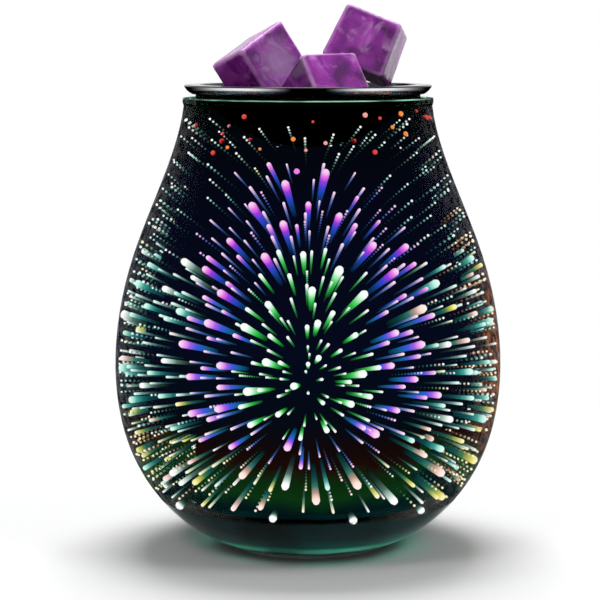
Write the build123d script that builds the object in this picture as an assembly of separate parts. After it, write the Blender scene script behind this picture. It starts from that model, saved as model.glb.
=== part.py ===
from build123d import *
import os
from itertools import product
from math import cos, hypot, pi, radians, sin, sqrt

# Wax melt warmer: egg-shaped glass shade on a pad ring, lamp inside, lift-off dish on its neck.
# Millimetres, +Z up, the table is z = 0, the axis of the shade is Z and the front faces -Y.

# Clearances
fit_gap = 0.3
thread_gap = 0.05
slot_gap = 0.2

# Pad ring under the glass heel
pad_t = 1.0
pad_inset = 0.5

# Glass shade: radius and height above the heel of the points its outline goes through
heel_r = 25.6
foot_r = 42.9
foot_h = 9.0
hip_r = 57.2
hip_h = 27.6
belly_r = 63.6
belly_h = 59.0
shoulder_r = 57.3
shoulder_h = 95.6
throat_r = 46.0
throat_h = 124.6
neck_r = 40.6
neck_h = 144.8
neck_lean = 0.12
heel_rise = 0.22
wall_t = 2.2

# Glass lip at the top of the neck
lip_h = 2.4
lip_bulge = 0.6
lip_flat_inset = 0.6
lip_chamfer = 0.4

# Heavy glass bottom: recess for the housing, floor with an opening
recess_r = 21.0
recess_h = 11.2
floor_t = 3.2
opening_r = 16.6
cavity_floor_r = 37.0

# Base housing, lamp base and the screws that clamp them on the glass floor
gasket_t = 0.8
moulded_wall = 1.7
housing_floor = 2.0
lamp_flange_r = 24.0
lamp_flange_t = 1.8
lamp_base_h = 14.8
spigot_h = 2.6
screw_count = 3
screw_circle_r = 10.6
screw_start_angle = pi / 6
screw_r = 1.5
screw_head_r = 2.8
screw_head_h = 1.6
screw_head_sink = 0.2
screw_bite = 9.0
pillar_r = 3.8
boss_r = 2.9
pillar_over_floor = 10.9

# Gland for the mains flex in the back wall
flex_bore_r = 2.6
gland_wall = 1.0
gland_z_over_heel = 5.8
gland_flange_r = 4.8
gland_flange_t = 1.5
tunnel_gap = 0.4
tunnel_corner_r = 2.0

# Wiring
block_w = 12.0
block_d = 7.5
block_h = 9.0
block_back = 2.5
pole_pitch = 6.0
pole_screw_r = 1.3
pole_screw_h = 2.4
pole_screw_inset = 2.0
lead_r = 0.8
lead_pitch = 2.6
lead_riser_y = 7.0
lead_over_block_foot = 4.0
lead_slant_h = 4.0
lead_bend_r = 1.2
fuse_r = 1.7
fuse_len = 8.0

# Lamp stem, its nuts and the reflector
stem_r = 5.0
stem_bore_r = 3.6
stem_len = 33.0
nut_across = 14.0
nut_t = 3.8
reflector_r = 36.0
reflector_flat_r = 20.0
reflector_rise = 5.0
reflector_t = 1.0

# Lamp holder in its cup
cup_wall = 1.0
cup_floor = 2.0
cup_h = 10.0
holder_r = 10.3
holder_h = 16.0
holder_well_r = 6.5
holder_well_h = 4.0
holder_screw_y = 7.4
holder_screw_r = 1.25
holder_head_r = 2.1
holder_head_h = 1.4
contact_t = 0.4
contact_h = 9.0
contact_lift = 1.0

# Capsule bulb with two wire-loop pins
pin_pitch = 9.0
pin_loop_w = 2.2
pin_wire_r = 0.4
pin_len = 6.5
pinch_w = 13.0
pinch_t = 4.6
pinch_h = 9.0
capsule_r = 6.8
capsule_wall = 0.8
capsule_len = 28.0
collar_disc_t = 1.5
filament_pitch = 4.4
filament_h = 14.0
filament_wire_r = 0.35
filament_coil_r = 0.9
filament_coil_len = 2.2

# Wax dish and its gasket
dish_setback = 0.8
rim_h = 3.0
rim_tip = 0.8
rim_tip_turn = 35.0
rim_draft = 2.6
rim_swell = 0.3
well_depth = 19.0
dish_t = 1.4
collar_t = 1.2
collar_h = 3.6
neck_gap = 0.5
seal_t = 0.8
seal_leg_t = 1.2
seal_leg_h = 3.0
seal_bearing = 0.5

# Wax melts: tapered cubes with rounded edges; places in melt widths from the dish's centre
wax_wide = 22.3
wax_narrow = 20.1
wax_high = 19.4
wax_round = 1.4
wax_gap = 0.3
wax_left_tilt = (71.2, 37.3, 40.1)
wax_left_place = (-0.688, 0.487)
wax_front_tilt = (50.7, 27.0, 22.1)
wax_front_place = (0.264, -0.334)
wax_right_tilt = (171.6, -23.4, 9.7)
wax_right_place = (0.875, 0.593)

# Heights and radii that follow from the sizes above
heel_z = pad_t
floor_low_z = heel_z + recess_h
floor_top_z = floor_low_z + floor_t
neck_z = heel_z + neck_h
neck_in_r = neck_r - wall_t
lip_z = neck_z + lip_h
housing_r = recess_r - fit_gap
housing_in_r = housing_r - moulded_wall
housing_top_z = floor_low_z - gasket_t
housing_floor_z = heel_z + housing_floor
screw_seat_z = heel_z + screw_head_sink + screw_head_h
pillar_top_z = housing_floor_z + pillar_over_floor
lamp_base_z = floor_top_z + gasket_t
lamp_base_top_z = lamp_base_z + lamp_base_h
lamp_web_z = lamp_base_top_z - moulded_wall
spigot_r = opening_r - fit_gap
spigot_in_r = spigot_r - moulded_wall
boss_low_z = pillar_top_z + fit_gap
screw_top_z = boss_low_z + screw_bite
gland_z = heel_z + gland_z_over_heel
gland_r = flex_bore_r + gland_wall
tunnel_half_w = gland_r + tunnel_gap
block_top_z = housing_floor_z + block_h
lead_exit_z = housing_floor_z + lead_over_block_foot
reflector_z = lamp_base_top_z
reflector_top_z = reflector_z + reflector_t
nut_low_z = lamp_web_z - nut_t
stem_low_z = nut_low_z - slot_gap
stem_top_z = stem_low_z + stem_len
cup_z = stem_top_z - cup_floor
cup_in_r = holder_r + fit_gap
cup_r = cup_in_r + cup_wall
holder_top_z = stem_top_z + holder_h
holder_roof_z = stem_top_z + holder_well_h
contact_z = holder_roof_z + contact_lift
pinch_top_z = holder_top_z + pinch_h
capsule_z = pinch_top_z + collar_disc_t
rim_low_z = lip_z + seal_t
rim_top_z = rim_low_z + rim_h
dish_r = neck_r + lip_bulge - dish_setback
seal_leg_r = neck_in_r - neck_gap
seal_in_r = seal_leg_r - seal_leg_t
collar_r = seal_in_r - thread_gap
well_r = collar_r - collar_t
well_low_z = rim_top_z - well_depth
bowl_r = (well_r**2 + well_depth**2) / (2 * well_depth)
bowl_centre_z = well_low_z + bowl_r


def rod(radius, low_z, high_z, x=0.0, y=0.0):
    """Upright round bar between two heights."""
    return Pos(x, y, low_z) * Cylinder(radius, high_z - low_z, align=(Align.CENTER, Align.CENTER, Align.MIN))


def ring(outer_r, inner_r, low_z, high_z):
    """Upright round tube between two heights."""
    return rod(outer_r, low_z, high_z) - rod(inner_r, low_z, high_z)


def bar_back(radius, from_y, to_y, z):
    """Round bar that runs from front to back at one height."""
    bar = Cylinder(radius, to_y - from_y, align=(Align.CENTER, Align.CENTER, Align.MIN))
    return Pos(0, from_y, z) * Rot(-90, 0, 0) * bar


def turned(edges):
    """Solid of revolution about Z from a closed outline in the XZ plane."""
    return revolve(Face(Wire(edges)), Axis.Z)


def on_section(radius, z):
    """Point of a section in the XZ plane."""
    return Vector(radius, 0, z)


def round_places(count, radius, start_angle):
    """Evenly spaced places on a circle about Z."""
    angles = [start_angle + 2 * pi * i / count for i in range(count)]
    return [(radius * cos(angle), radius * sin(angle)) for angle in angles]


screw_places = round_places(screw_count, screw_circle_r, screw_start_angle)


def foot_ring():
    return ring(heel_r - pad_inset, recess_r + pad_inset, 0, pad_t)


def shade_points():
    """Outer outline of the glass from the heel to the neck."""
    radii = (heel_r, foot_r, hip_r, belly_r, shoulder_r, throat_r, neck_r)
    heights = (0, foot_h, hip_h, belly_h, shoulder_h, throat_h, neck_h)
    return [on_section(radius, heel_z + height) for radius, height in zip(radii, heights)]


def shade_curve(points, start_rise):
    """Smooth curve that starts outwards at a given rise and ends up the neck."""
    return Spline(*points, tangents=[(1, 0, start_rise), (-neck_lean, 0, 1)], tangent_scalars=[1, 1])


def cord_tunnel():
    """Way for the flex through the back of the glass bottom, flat on top with round corners."""
    tunnel_h = gland_z + tunnel_half_w
    tunnel = Box(2 * tunnel_half_w, belly_r, tunnel_h, align=(Align.CENTER, Align.MIN, Align.MIN))
    top_edges = tunnel.edges().filter_by(Axis.Y).group_by(Axis.Z)[-1]
    return fillet(top_edges, tunnel_corner_r)


def glass_shade():
    outer_points = shade_points()
    outer = shade_curve(outer_points, heel_rise)
    inner_points = [on_section(cavity_floor_r, floor_top_z)]
    for point in outer_points[2:-1]:  # from the hip to the throat
        along = outer.tangent_at(point)
        inner_points.append(point - on_section(along.Z, -along.X) * wall_t)
    inner_points.append(on_section(neck_in_r, neck_z))
    inner = shade_curve(inner_points, 0)
    lip_outer = on_section(neck_r - lip_flat_inset, lip_z)
    lip_inner = on_section(neck_in_r + lip_chamfer, lip_z)
    bead = on_section(neck_r + lip_bulge, neck_z + lip_h / 2)
    corners = [
        inner_points[0],
        on_section(opening_r, floor_top_z),
        on_section(opening_r, floor_low_z),
        on_section(recess_r, floor_low_z),
        on_section(recess_r, heel_z),
        outer_points[0],
    ]
    edges = [outer, ThreePointArc(outer_points[-1], bead, lip_outer), Line(lip_outer, lip_inner)]
    edges += [Line(lip_inner, inner_points[-1]), inner]
    edges += [Line(start, end) for start, end in zip(corners, corners[1:])]
    return turned(edges) - cord_tunnel()


def base_housing():
    cup = rod(housing_r, heel_z, housing_top_z) - rod(housing_in_r, housing_floor_z, housing_top_z)
    for x, y in screw_places:
        cup += rod(pillar_r, housing_floor_z, pillar_top_z, x, y)
        cup -= rod(screw_r + slot_gap, heel_z, pillar_top_z, x, y)
        cup -= rod(screw_head_r + slot_gap, heel_z, screw_seat_z, x, y)
    return cup - bar_back(gland_r + thread_gap, housing_in_r - gland_flange_r, housing_r + fit_gap, gland_z)


def lower_gasket():
    return ring(housing_r, housing_in_r, housing_top_z, floor_low_z)


def upper_gasket():
    return ring(lamp_flange_r, opening_r, floor_top_z, lamp_base_z)


def lamp_base():
    spigot_low_z = lamp_base_z - gasket_t - spigot_h
    shell = rod(spigot_r, spigot_low_z, lamp_base_top_z) - rod(spigot_in_r, spigot_low_z, lamp_web_z)
    shell += ring(lamp_flange_r, spigot_in_r, lamp_base_z, lamp_base_z + lamp_flange_t)
    for x, y in screw_places:
        shell += rod(boss_r, boss_low_z, lamp_web_z, x, y)
        shell -= rod(screw_r + thread_gap, boss_low_z, screw_top_z + slot_gap, x, y)
    return shell - rod(stem_r + thread_gap, lamp_web_z, lamp_base_top_z)


def housing_screws():
    screws = Part()
    for x, y in screw_places:
        head = rod(screw_head_r, screw_seat_z - screw_head_h, screw_seat_z, x, y)
        screws += head + rod(screw_r, screw_seat_z, screw_top_z, x, y)
    return screws


def cord_gland():
    """Bush that ends flush with the round wall; its flange bears inside and stands on the floor."""
    seat_y = sqrt(housing_in_r**2 - gland_flange_r**2)
    flange_y = seat_y - gland_flange_t
    end_y = sqrt(housing_r**2 - gland_r**2)
    flange = bar_back(gland_flange_r, flange_y, seat_y, gland_z)
    flange -= rod(housing_in_r, 0, housing_floor_z)
    bush = flange + bar_back(gland_r, seat_y, end_y, gland_z)
    return bush - bar_back(flex_bore_r, flange_y, end_y, gland_z)


def pole_places():
    """Left and right pole of the block, at its screws."""
    screw_y = block_back - block_d + pole_screw_inset
    return [(side * pole_pitch / 2, screw_y) for side in (-1, 1)]


def terminal_block():
    centre_y = block_back - block_d / 2
    block = Box(block_w, block_d, block_h, align=(Align.CENTER, Align.CENTER, Align.MIN))
    block = Pos(0, centre_y, housing_floor_z) * block
    for x, y in pole_places():
        block -= rod(pole_screw_r + thread_gap, block_top_z - pole_screw_h, block_top_z, x, y)
    return block


def terminal_screws():
    screws = Part()
    for x, y in pole_places():
        screws += rod(pole_screw_r, block_top_z - pole_screw_h, block_top_z - slot_gap, x, y)
    return screws


def lead(side):
    """Insulated wire from the block, up the stem, to the holder's contact; side is -1 or 1."""
    riser_x = side * pole_pitch / 2
    bore_x = side * lead_pitch / 2
    contact_x = side * pin_pitch / 2
    bend_high_z = stem_low_z - lead_r
    bend_low_z = bend_high_z - lead_slant_h
    points = [
        (riser_x, block_back, lead_exit_z),
        (riser_x, lead_riser_y, lead_exit_z),
        (riser_x, lead_riser_y, bend_low_z),
        (bore_x, 0, bend_high_z),
        (bore_x, 0, stem_top_z),
        (contact_x, 0, holder_roof_z - lead_r),
        (contact_x, 0, contact_z),
    ]
    route = FilletPolyline(*points, radius=lead_bend_r)
    return sweep(Plane(origin=points[0], z_dir=(0, 1, 0)) * Circle(lead_r), path=route)


def lead_live():
    return lead(1)


def lead_neutral():
    return lead(-1)


def thermal_fuse():
    """Sleeve-shaped cut-out on the upright run of the live lead."""
    low_z = block_top_z
    sleeve = rod(fuse_r, low_z, low_z + fuse_len) - rod(lead_r + thread_gap, low_z, low_z + fuse_len)
    return Pos(pole_pitch / 2, lead_riser_y, 0) * sleeve


def reflector_plate():
    hole_r = stem_r + thread_gap
    lower = [(hole_r, 0), (reflector_flat_r, 0), (reflector_r, reflector_rise)]
    upper = [(radius, rise + reflector_t) for radius, rise in reversed(lower)]
    points = [on_section(radius, reflector_z + rise) for radius, rise in lower + upper]
    return turned(Polyline(*points, close=True).edges())


def stem_tube():
    return ring(stem_r, stem_bore_r, stem_low_z, stem_top_z)


def stem_nuts():
    nut = extrude(RegularPolygon(nut_across / 2, 6, major_radius=False), nut_t)
    nut -= rod(stem_r + thread_gap, 0, nut_t)
    nuts = Part()
    for low_z in (nut_low_z, reflector_top_z, cup_z - nut_t):
        nuts += Pos(0, 0, low_z) * nut
    return nuts


def holder_cup():
    cup = rod(cup_r, cup_z, cup_z + cup_h) - rod(cup_in_r, stem_top_z, cup_z + cup_h)
    for side in (-1, 1):
        cup -= rod(holder_screw_r + thread_gap, cup_z, stem_top_z, 0, side * holder_screw_y)
    return cup - rod(stem_r + thread_gap, cup_z, stem_top_z)


def contact_size():
    """Width across and along the pins of one spring contact."""
    return pin_loop_w + 2 * pin_wire_r + 2 * slot_gap, 2 * (pin_wire_r + slot_gap + contact_t)


def lamp_holder():
    width, depth = contact_size()
    body = rod(holder_r, stem_top_z, holder_top_z) - rod(holder_well_r, stem_top_z, holder_roof_z)
    slot = Box(width + 2 * slot_gap, depth + 2 * slot_gap, holder_h)
    for side in (-1, 1):
        body -= Pos(side * pin_pitch / 2, 0, holder_roof_z + holder_h / 2) * slot
        y = side * holder_screw_y
        body -= rod(holder_screw_r + slot_gap, stem_top_z, holder_top_z, 0, y)
        body -= rod(holder_head_r + slot_gap, holder_top_z - holder_head_h - slot_gap, holder_top_z, 0, y)
    return body


def holder_contacts():
    """Two U-shaped springs that grip the pins."""
    width, depth = contact_size()
    low = (Align.CENTER, Align.CENTER, Align.MIN)
    spring = Box(width, depth, contact_h, align=low)
    spring -= Pos(0, 0, contact_t) * Box(width, depth - 2 * contact_t, contact_h, align=low)
    contacts = Part()
    for side in (-1, 1):
        contacts += Pos(side * pin_pitch / 2, 0, contact_z) * spring
    return contacts


def holder_screws():
    seat_z = holder_top_z - slot_gap - holder_head_h
    screws = Part()
    for side in (-1, 1):
        y = side * holder_screw_y
        head = rod(holder_head_r, seat_z, seat_z + holder_head_h, 0, y)
        screws += head + rod(holder_screw_r, cup_z, seat_z, 0, y)
    return screws


def wire_loop(half_w, straight, wire_r):
    """Round wire bent to a U, open end up at z = 0."""
    left_low = Vector(-half_w, 0, -straight)
    right_low = Vector(half_w, 0, -straight)
    bottom = Vector(0, 0, -straight - half_w)
    path = Line((-half_w, 0, 0), left_low) + ThreePointArc(left_low, bottom, right_low)
    path += Line(right_low, (half_w, 0, 0))
    return sweep(Plane(origin=(-half_w, 0, 0), z_dir=(0, 0, -1)) * Circle(wire_r), path=path)


def bulb_pins():
    half_w = pin_loop_w / 2
    loop = wire_loop(half_w, pin_len - half_w - pin_wire_r, pin_wire_r)
    pins = Part()
    for side in (-1, 1):
        pins += Pos(side * pin_pitch / 2, 0, holder_top_z) * loop
    return pins


def bulb_pinch():
    """Flat glass pinch with the round shoulder that closes the capsule."""
    low = (Align.CENTER, Align.CENTER, Align.MIN)
    pinch = Pos(0, 0, holder_top_z) * Box(pinch_w, pinch_t, pinch_h, align=low)
    return pinch + rod(capsule_r, pinch_top_z, capsule_z)


def dome(radius, low_z, high_z):
    """Round bar with a hemisphere on top."""
    return rod(radius, low_z, high_z - radius) + Pos(0, 0, high_z - radius) * Sphere(radius)


def bulb_capsule():
    top_z = capsule_z + capsule_len
    in_r = capsule_r - capsule_wall
    return dome(capsule_r, capsule_z, top_z) - dome(in_r, capsule_z, top_z - capsule_wall)


def bulb_filament():
    half_w = filament_pitch / 2
    loop = wire_loop(half_w, filament_h - half_w, filament_wire_r)
    coil = Rot(0, 90, 0) * Cylinder(filament_coil_r, filament_coil_len)
    return Pos(0, 0, capsule_z) * (Rot(180, 0, 0) * loop + Pos(0, 0, filament_h) * coil)


def bowl_height(radius, ball_r):
    """Height of a ball's centre that touches the inside of the bowl at a radius."""
    return bowl_centre_z - sqrt((bowl_r - ball_r) ** 2 - radius**2)


def seat_height(radius, ball_r):
    """Height of a ball's centre that rests on the dish at a radius: in the bowl or on its rim."""
    on_rim = rim_top_z + ball_r
    if radius > well_r - ball_r:
        return on_rim
    return min(bowl_height(radius, ball_r), on_rim)


def wax_dish():
    outer_ball_r = bowl_r + dish_t
    collar_low_z = rim_low_z - collar_h
    under_r = sqrt(outer_ball_r**2 - (bowl_centre_z - collar_low_z) ** 2)
    tip_r = rim_tip / 2
    turn = radians(rim_tip_turn)
    tip_x = dish_r - tip_r
    tip_z = rim_top_z - tip_r
    tip_end = on_section(tip_x + tip_r * cos(turn), tip_z - tip_r * sin(turn))
    well_edge = on_section(well_r, rim_top_z)
    well_mid = on_section(well_r / 2, bowl_height(well_r / 2, 0))
    under_mid = on_section(under_r / 2, bowl_height(under_r / 2, -dish_t))
    outline = [
        on_section(dish_r - rim_draft, rim_low_z),
        on_section(collar_r, rim_low_z),
        on_section(collar_r, collar_low_z),
        on_section(under_r, collar_low_z),
    ]
    edges = [ThreePointArc(on_section(0, well_low_z), well_mid, well_edge)]
    edges += [Line(well_edge, on_section(tip_x, rim_top_z))]
    edges += [ThreePointArc(on_section(tip_x, rim_top_z), on_section(dish_r, tip_z), tip_end)]
    lean = (tip_end - outline[0]).normalized()
    swell = on_section(lean.Z, -lean.X) * rim_swell
    edges += [ThreePointArc(tip_end, (tip_end + outline[0]) / 2 + swell, outline[0])]
    edges += [Line(start, end) for start, end in zip(outline, outline[1:])]
    edges += [ThreePointArc(outline[-1], under_mid, on_section(0, well_low_z - dish_t))]
    edges += [Line(on_section(0, well_low_z - dish_t), on_section(0, well_low_z))]
    return turned(edges)


def dish_gasket():
    """Angle-section ring: a leg inside the neck and a flange between lip and rim."""
    flange_r = neck_in_r + lip_chamfer + seal_bearing
    flange = ring(flange_r, seal_in_r, lip_z, rim_low_z)
    return flange + ring(seal_leg_r, seal_in_r, lip_z - seal_leg_h, lip_z)


def wax_melt(tilt, place):
    """Rounded taper cube, tilted as given and let down until a corner meets the dish."""
    x = place[0] * wax_wide
    y = place[1] * wax_wide
    turn = Rotation(*tilt)
    reach = wax_round + wax_gap
    rest_z = []
    for side_x, side_y, side_z in product((-1, 1), repeat=3):
        half_w = (wax_wide if side_z > 0 else wax_narrow) / 2 - wax_round
        corner = (turn * Pos(side_x * half_w, side_y * half_w, side_z * (wax_high / 2 - wax_round))).position
        rest_z.append(seat_height(hypot(x + corner.X, y + corner.Y), reach) - corner.Z)
    lower = Pos(0, 0, -wax_high / 2) * Rectangle(wax_narrow, wax_narrow)
    upper = Pos(0, 0, wax_high / 2) * Rectangle(wax_wide, wax_wide)
    melt = loft([lower, upper])
    melt = fillet(melt.edges(), wax_round)
    return Pos(x, y, max(rest_z)) * turn * melt


def wax_cube_left():
    return wax_melt(wax_left_tilt, wax_left_place)


def wax_cube_front():
    return wax_melt(wax_front_tilt, wax_front_place)


def wax_cube_right():
    return wax_melt(wax_right_tilt, wax_right_place)


pieces = [
    foot_ring,
    glass_shade,
    base_housing,
    lower_gasket,
    upper_gasket,
    lamp_base,
    housing_screws,
    cord_gland,
    terminal_block,
    terminal_screws,
    lead_live,
    lead_neutral,
    thermal_fuse,
    reflector_plate,
    stem_tube,
    stem_nuts,
    holder_cup,
    lamp_holder,
    holder_contacts,
    holder_screws,
    bulb_pins,
    bulb_pinch,
    bulb_capsule,
    bulb_filament,
    wax_dish,
    dish_gasket,
    wax_cube_left,
    wax_cube_front,
    wax_cube_right,
]

os.makedirs("parts", exist_ok=True)
for piece in pieces:
    export_step(piece(), f"parts/{piece.__name__}.step")
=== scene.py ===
"""Looks of the wax melt warmer: film-coated glass with its sparks, dish, wax melts and lamp."""

import logging
import math
from dataclasses import dataclass, field
from enum import Enum
from typing import Any

import bmesh
import bpy
import numpy as np
from bpy.types import Camera, Light, Material, Mesh, Node, NodeSocket, NodeTree, Object
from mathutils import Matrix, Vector, noise
from mathutils.bvhtree import BVHTree


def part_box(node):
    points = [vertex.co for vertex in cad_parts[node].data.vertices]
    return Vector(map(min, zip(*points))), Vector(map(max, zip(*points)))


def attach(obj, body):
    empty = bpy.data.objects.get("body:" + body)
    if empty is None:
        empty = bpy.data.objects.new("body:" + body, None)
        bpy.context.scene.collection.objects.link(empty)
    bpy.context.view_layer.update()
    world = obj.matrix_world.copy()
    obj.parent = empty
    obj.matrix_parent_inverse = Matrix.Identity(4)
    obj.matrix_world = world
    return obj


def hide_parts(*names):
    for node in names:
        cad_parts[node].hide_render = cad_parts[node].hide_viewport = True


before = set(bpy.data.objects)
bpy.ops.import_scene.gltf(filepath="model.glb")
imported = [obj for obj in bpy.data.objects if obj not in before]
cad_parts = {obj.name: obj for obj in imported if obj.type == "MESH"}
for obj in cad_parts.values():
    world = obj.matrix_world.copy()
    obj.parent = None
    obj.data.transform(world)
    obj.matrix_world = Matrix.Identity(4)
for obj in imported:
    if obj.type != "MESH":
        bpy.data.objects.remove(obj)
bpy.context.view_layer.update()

LOG = logging.getLogger("wax_warmer")
MM = 0.001
IMAGE_PX = 600
# Most values of a noise texture lie between these two.
NOISE_LOW = 0.3
NOISE_HIGH = 0.7


def linear(code: str, alpha: float = 1.0) -> tuple[float, float, float, float]:
    """Turns an sRGB hex colour into linear values.

    Args:
        code: the colour as six hex digits after a hash sign.
        alpha: the fourth value of the result.

    Returns:
        Linear red, green and blue, and alpha.
    """
    shares = [int(code[i : i + 2], 16) / 255 for i in (1, 3, 5)]
    red, green, blue = (c / 12.92 if c <= 0.04045 else ((c + 0.055) / 1.055) ** 2.4 for c in shares)
    return red, green, blue, alpha


WHITE = linear("#FFFFFF")


def scale_of(size_mm: float) -> float:
    """Scale of a noise texture whose features are about this wide."""
    return 1 / (size_mm * MM)


def add_node(
    tree: NodeTree, kind: str, inputs: dict[int | str, Any] | None = None, **settings: Any
) -> Node:
    """Adds one node with its settings, values and links.

    Args:
        tree: the node tree that the node goes into.
        kind: the node's type name.
        inputs: by name or place, a socket to link from or a value to set.
        settings: properties of the node.

    Returns:
        The new node.
    """
    node = tree.nodes.new(kind)
    for name, value in settings.items():
        setattr(node, name, value)
    for key, value in (inputs or {}).items():
        if isinstance(value, NodeSocket):
            tree.links.new(value, node.inputs[key])
        else:
            node.inputs[key].default_value = value
    return node


def set_stops(ramp: Node, stops: list[tuple[float, str]]) -> None:
    """Gives a colour ramp its stops.

    Args:
        ramp: the colour ramp node.
        stops: place from 0 to 1 and hex colour of each stop, in rising order.
    """
    elements = ramp.color_ramp.elements
    while len(elements) < len(stops):
        elements.new(1.0)
    for element, (place, code) in zip(elements, stops):
        element.position = place
        element.color = linear(code)


@dataclass(frozen=True)
class Finish:
    """A material and the name it goes by."""

    name: str

    def material(self) -> Material:
        """Makes the material, with its nodes linked to the output.

        Returns:
            The new material.
        """
        made = bpy.data.materials.new(self.name)
        made.use_nodes = True
        tree = made.node_tree
        tree.nodes.clear()
        output = add_node(tree, "ShaderNodeOutputMaterial")
        tree.links.new(self.surface(tree), output.inputs["Surface"])
        return made

    def surface(self, tree: NodeTree) -> NodeSocket:
        """Adds the nodes of the finish and returns the shader's socket."""
        raise NotImplementedError


@dataclass(frozen=True)
class Grained(Finish):
    """Opaque finish whose grain shifts colour and gloss: plastics, rubber, metals and ceramic.

    Attributes:
        dark, light: colours between which the grain shifts.
        grain_mm, stretch: width of the grain, and how much finer it is along each axis.
        rough_low, rough_high: roughness between which it shifts.
        metallic: 1 for metals.
        relief_mm: depth of the grain.
    """

    dark: str = "#101010"
    light: str = "#202020"
    grain_mm: float = 1.0
    stretch: tuple[float, float, float] = (1.0, 1.0, 1.0)
    rough_low: float = 0.3
    rough_high: float = 0.5
    metallic: float = 0.0
    relief_mm: float = 0.01

    def surface(self, tree: NodeTree) -> NodeSocket:
        """Adds the nodes of the finish.

        Args:
            tree: the material's node tree.

        Returns:
            The socket of the shader.
        """
        place = add_node(tree, "ShaderNodeTexCoord").outputs["Object"]
        stretched = add_node(tree, "ShaderNodeMapping", {"Vector": place, "Scale": self.stretch})
        grain = add_node(
            tree,
            "ShaderNodeTexNoise",
            {
                "Vector": stretched.outputs[0],
                "Scale": scale_of(self.grain_mm),
                "Detail": 4.0,
                "Roughness": 0.6,
            },
        ).outputs["Fac"]
        colour = add_node(tree, "ShaderNodeValToRGB", {"Fac": grain})
        set_stops(colour, [(0.35, self.dark), (0.65, self.light)])
        rough = add_node(
            tree,
            "ShaderNodeMapRange",
            {
                "Value": grain,
                "From Min": NOISE_LOW,
                "From Max": NOISE_HIGH,
                "To Min": self.rough_low,
                "To Max": self.rough_high,
            },
        )
        bump = add_node(
            tree, "ShaderNodeBump", {"Height": grain, "Distance": self.relief_mm * MM, "Strength": 0.6}
        )
        shader = add_node(
            tree,
            "ShaderNodeBsdfPrincipled",
            {
                "Base Color": colour.outputs["Color"],
                "Roughness": rough.outputs["Result"],
                "Normal": bump.outputs["Normal"],
                "Metallic": self.metallic,
            },
        )
        return shader.outputs["BSDF"]


@dataclass(frozen=True)
class Clear(Finish):
    """See-through finish with a faint uneven haze: silicone rubber and quartz.

    Attributes:
        tint: colour of the haze.
        haze_low, haze_high: shares of haze between which it varies.
        cloud_mm: width of its clouds.
        roughness, specular: gloss of the haze.
    """

    tint: str = "#FFFFFF"
    haze_low: float = 0.05
    haze_high: float = 0.2
    cloud_mm: float = 3.0
    roughness: float = 0.1
    specular: float = 0.5

    def surface(self, tree: NodeTree) -> NodeSocket:
        """Adds the nodes of the finish.

        Args:
            tree: the material's node tree.

        Returns:
            The socket of the shader.
        """
        place = add_node(tree, "ShaderNodeTexCoord").outputs["Object"]
        cloud = add_node(
            tree, "ShaderNodeTexNoise", {"Vector": place, "Scale": scale_of(self.cloud_mm), "Detail": 2.0}
        )
        haze = add_node(
            tree,
            "ShaderNodeMapRange",
            {
                "Value": cloud.outputs["Fac"],
                "From Min": NOISE_LOW,
                "From Max": NOISE_HIGH,
                "To Min": self.haze_low,
                "To Max": self.haze_high,
            },
        )
        clear = add_node(tree, "ShaderNodeBsdfTransparent")
        body = add_node(
            tree,
            "ShaderNodeBsdfPrincipled",
            {
                "Base Color": linear(self.tint),
                "Roughness": self.roughness,
                "Specular IOR Level": self.specular,
            },
        )
        mixed = add_node(
            tree,
            "ShaderNodeMixShader",
            {0: haze.outputs["Result"], 1: clear.outputs[0], 2: body.outputs[0]},
        )
        return mixed.outputs[0]


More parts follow.
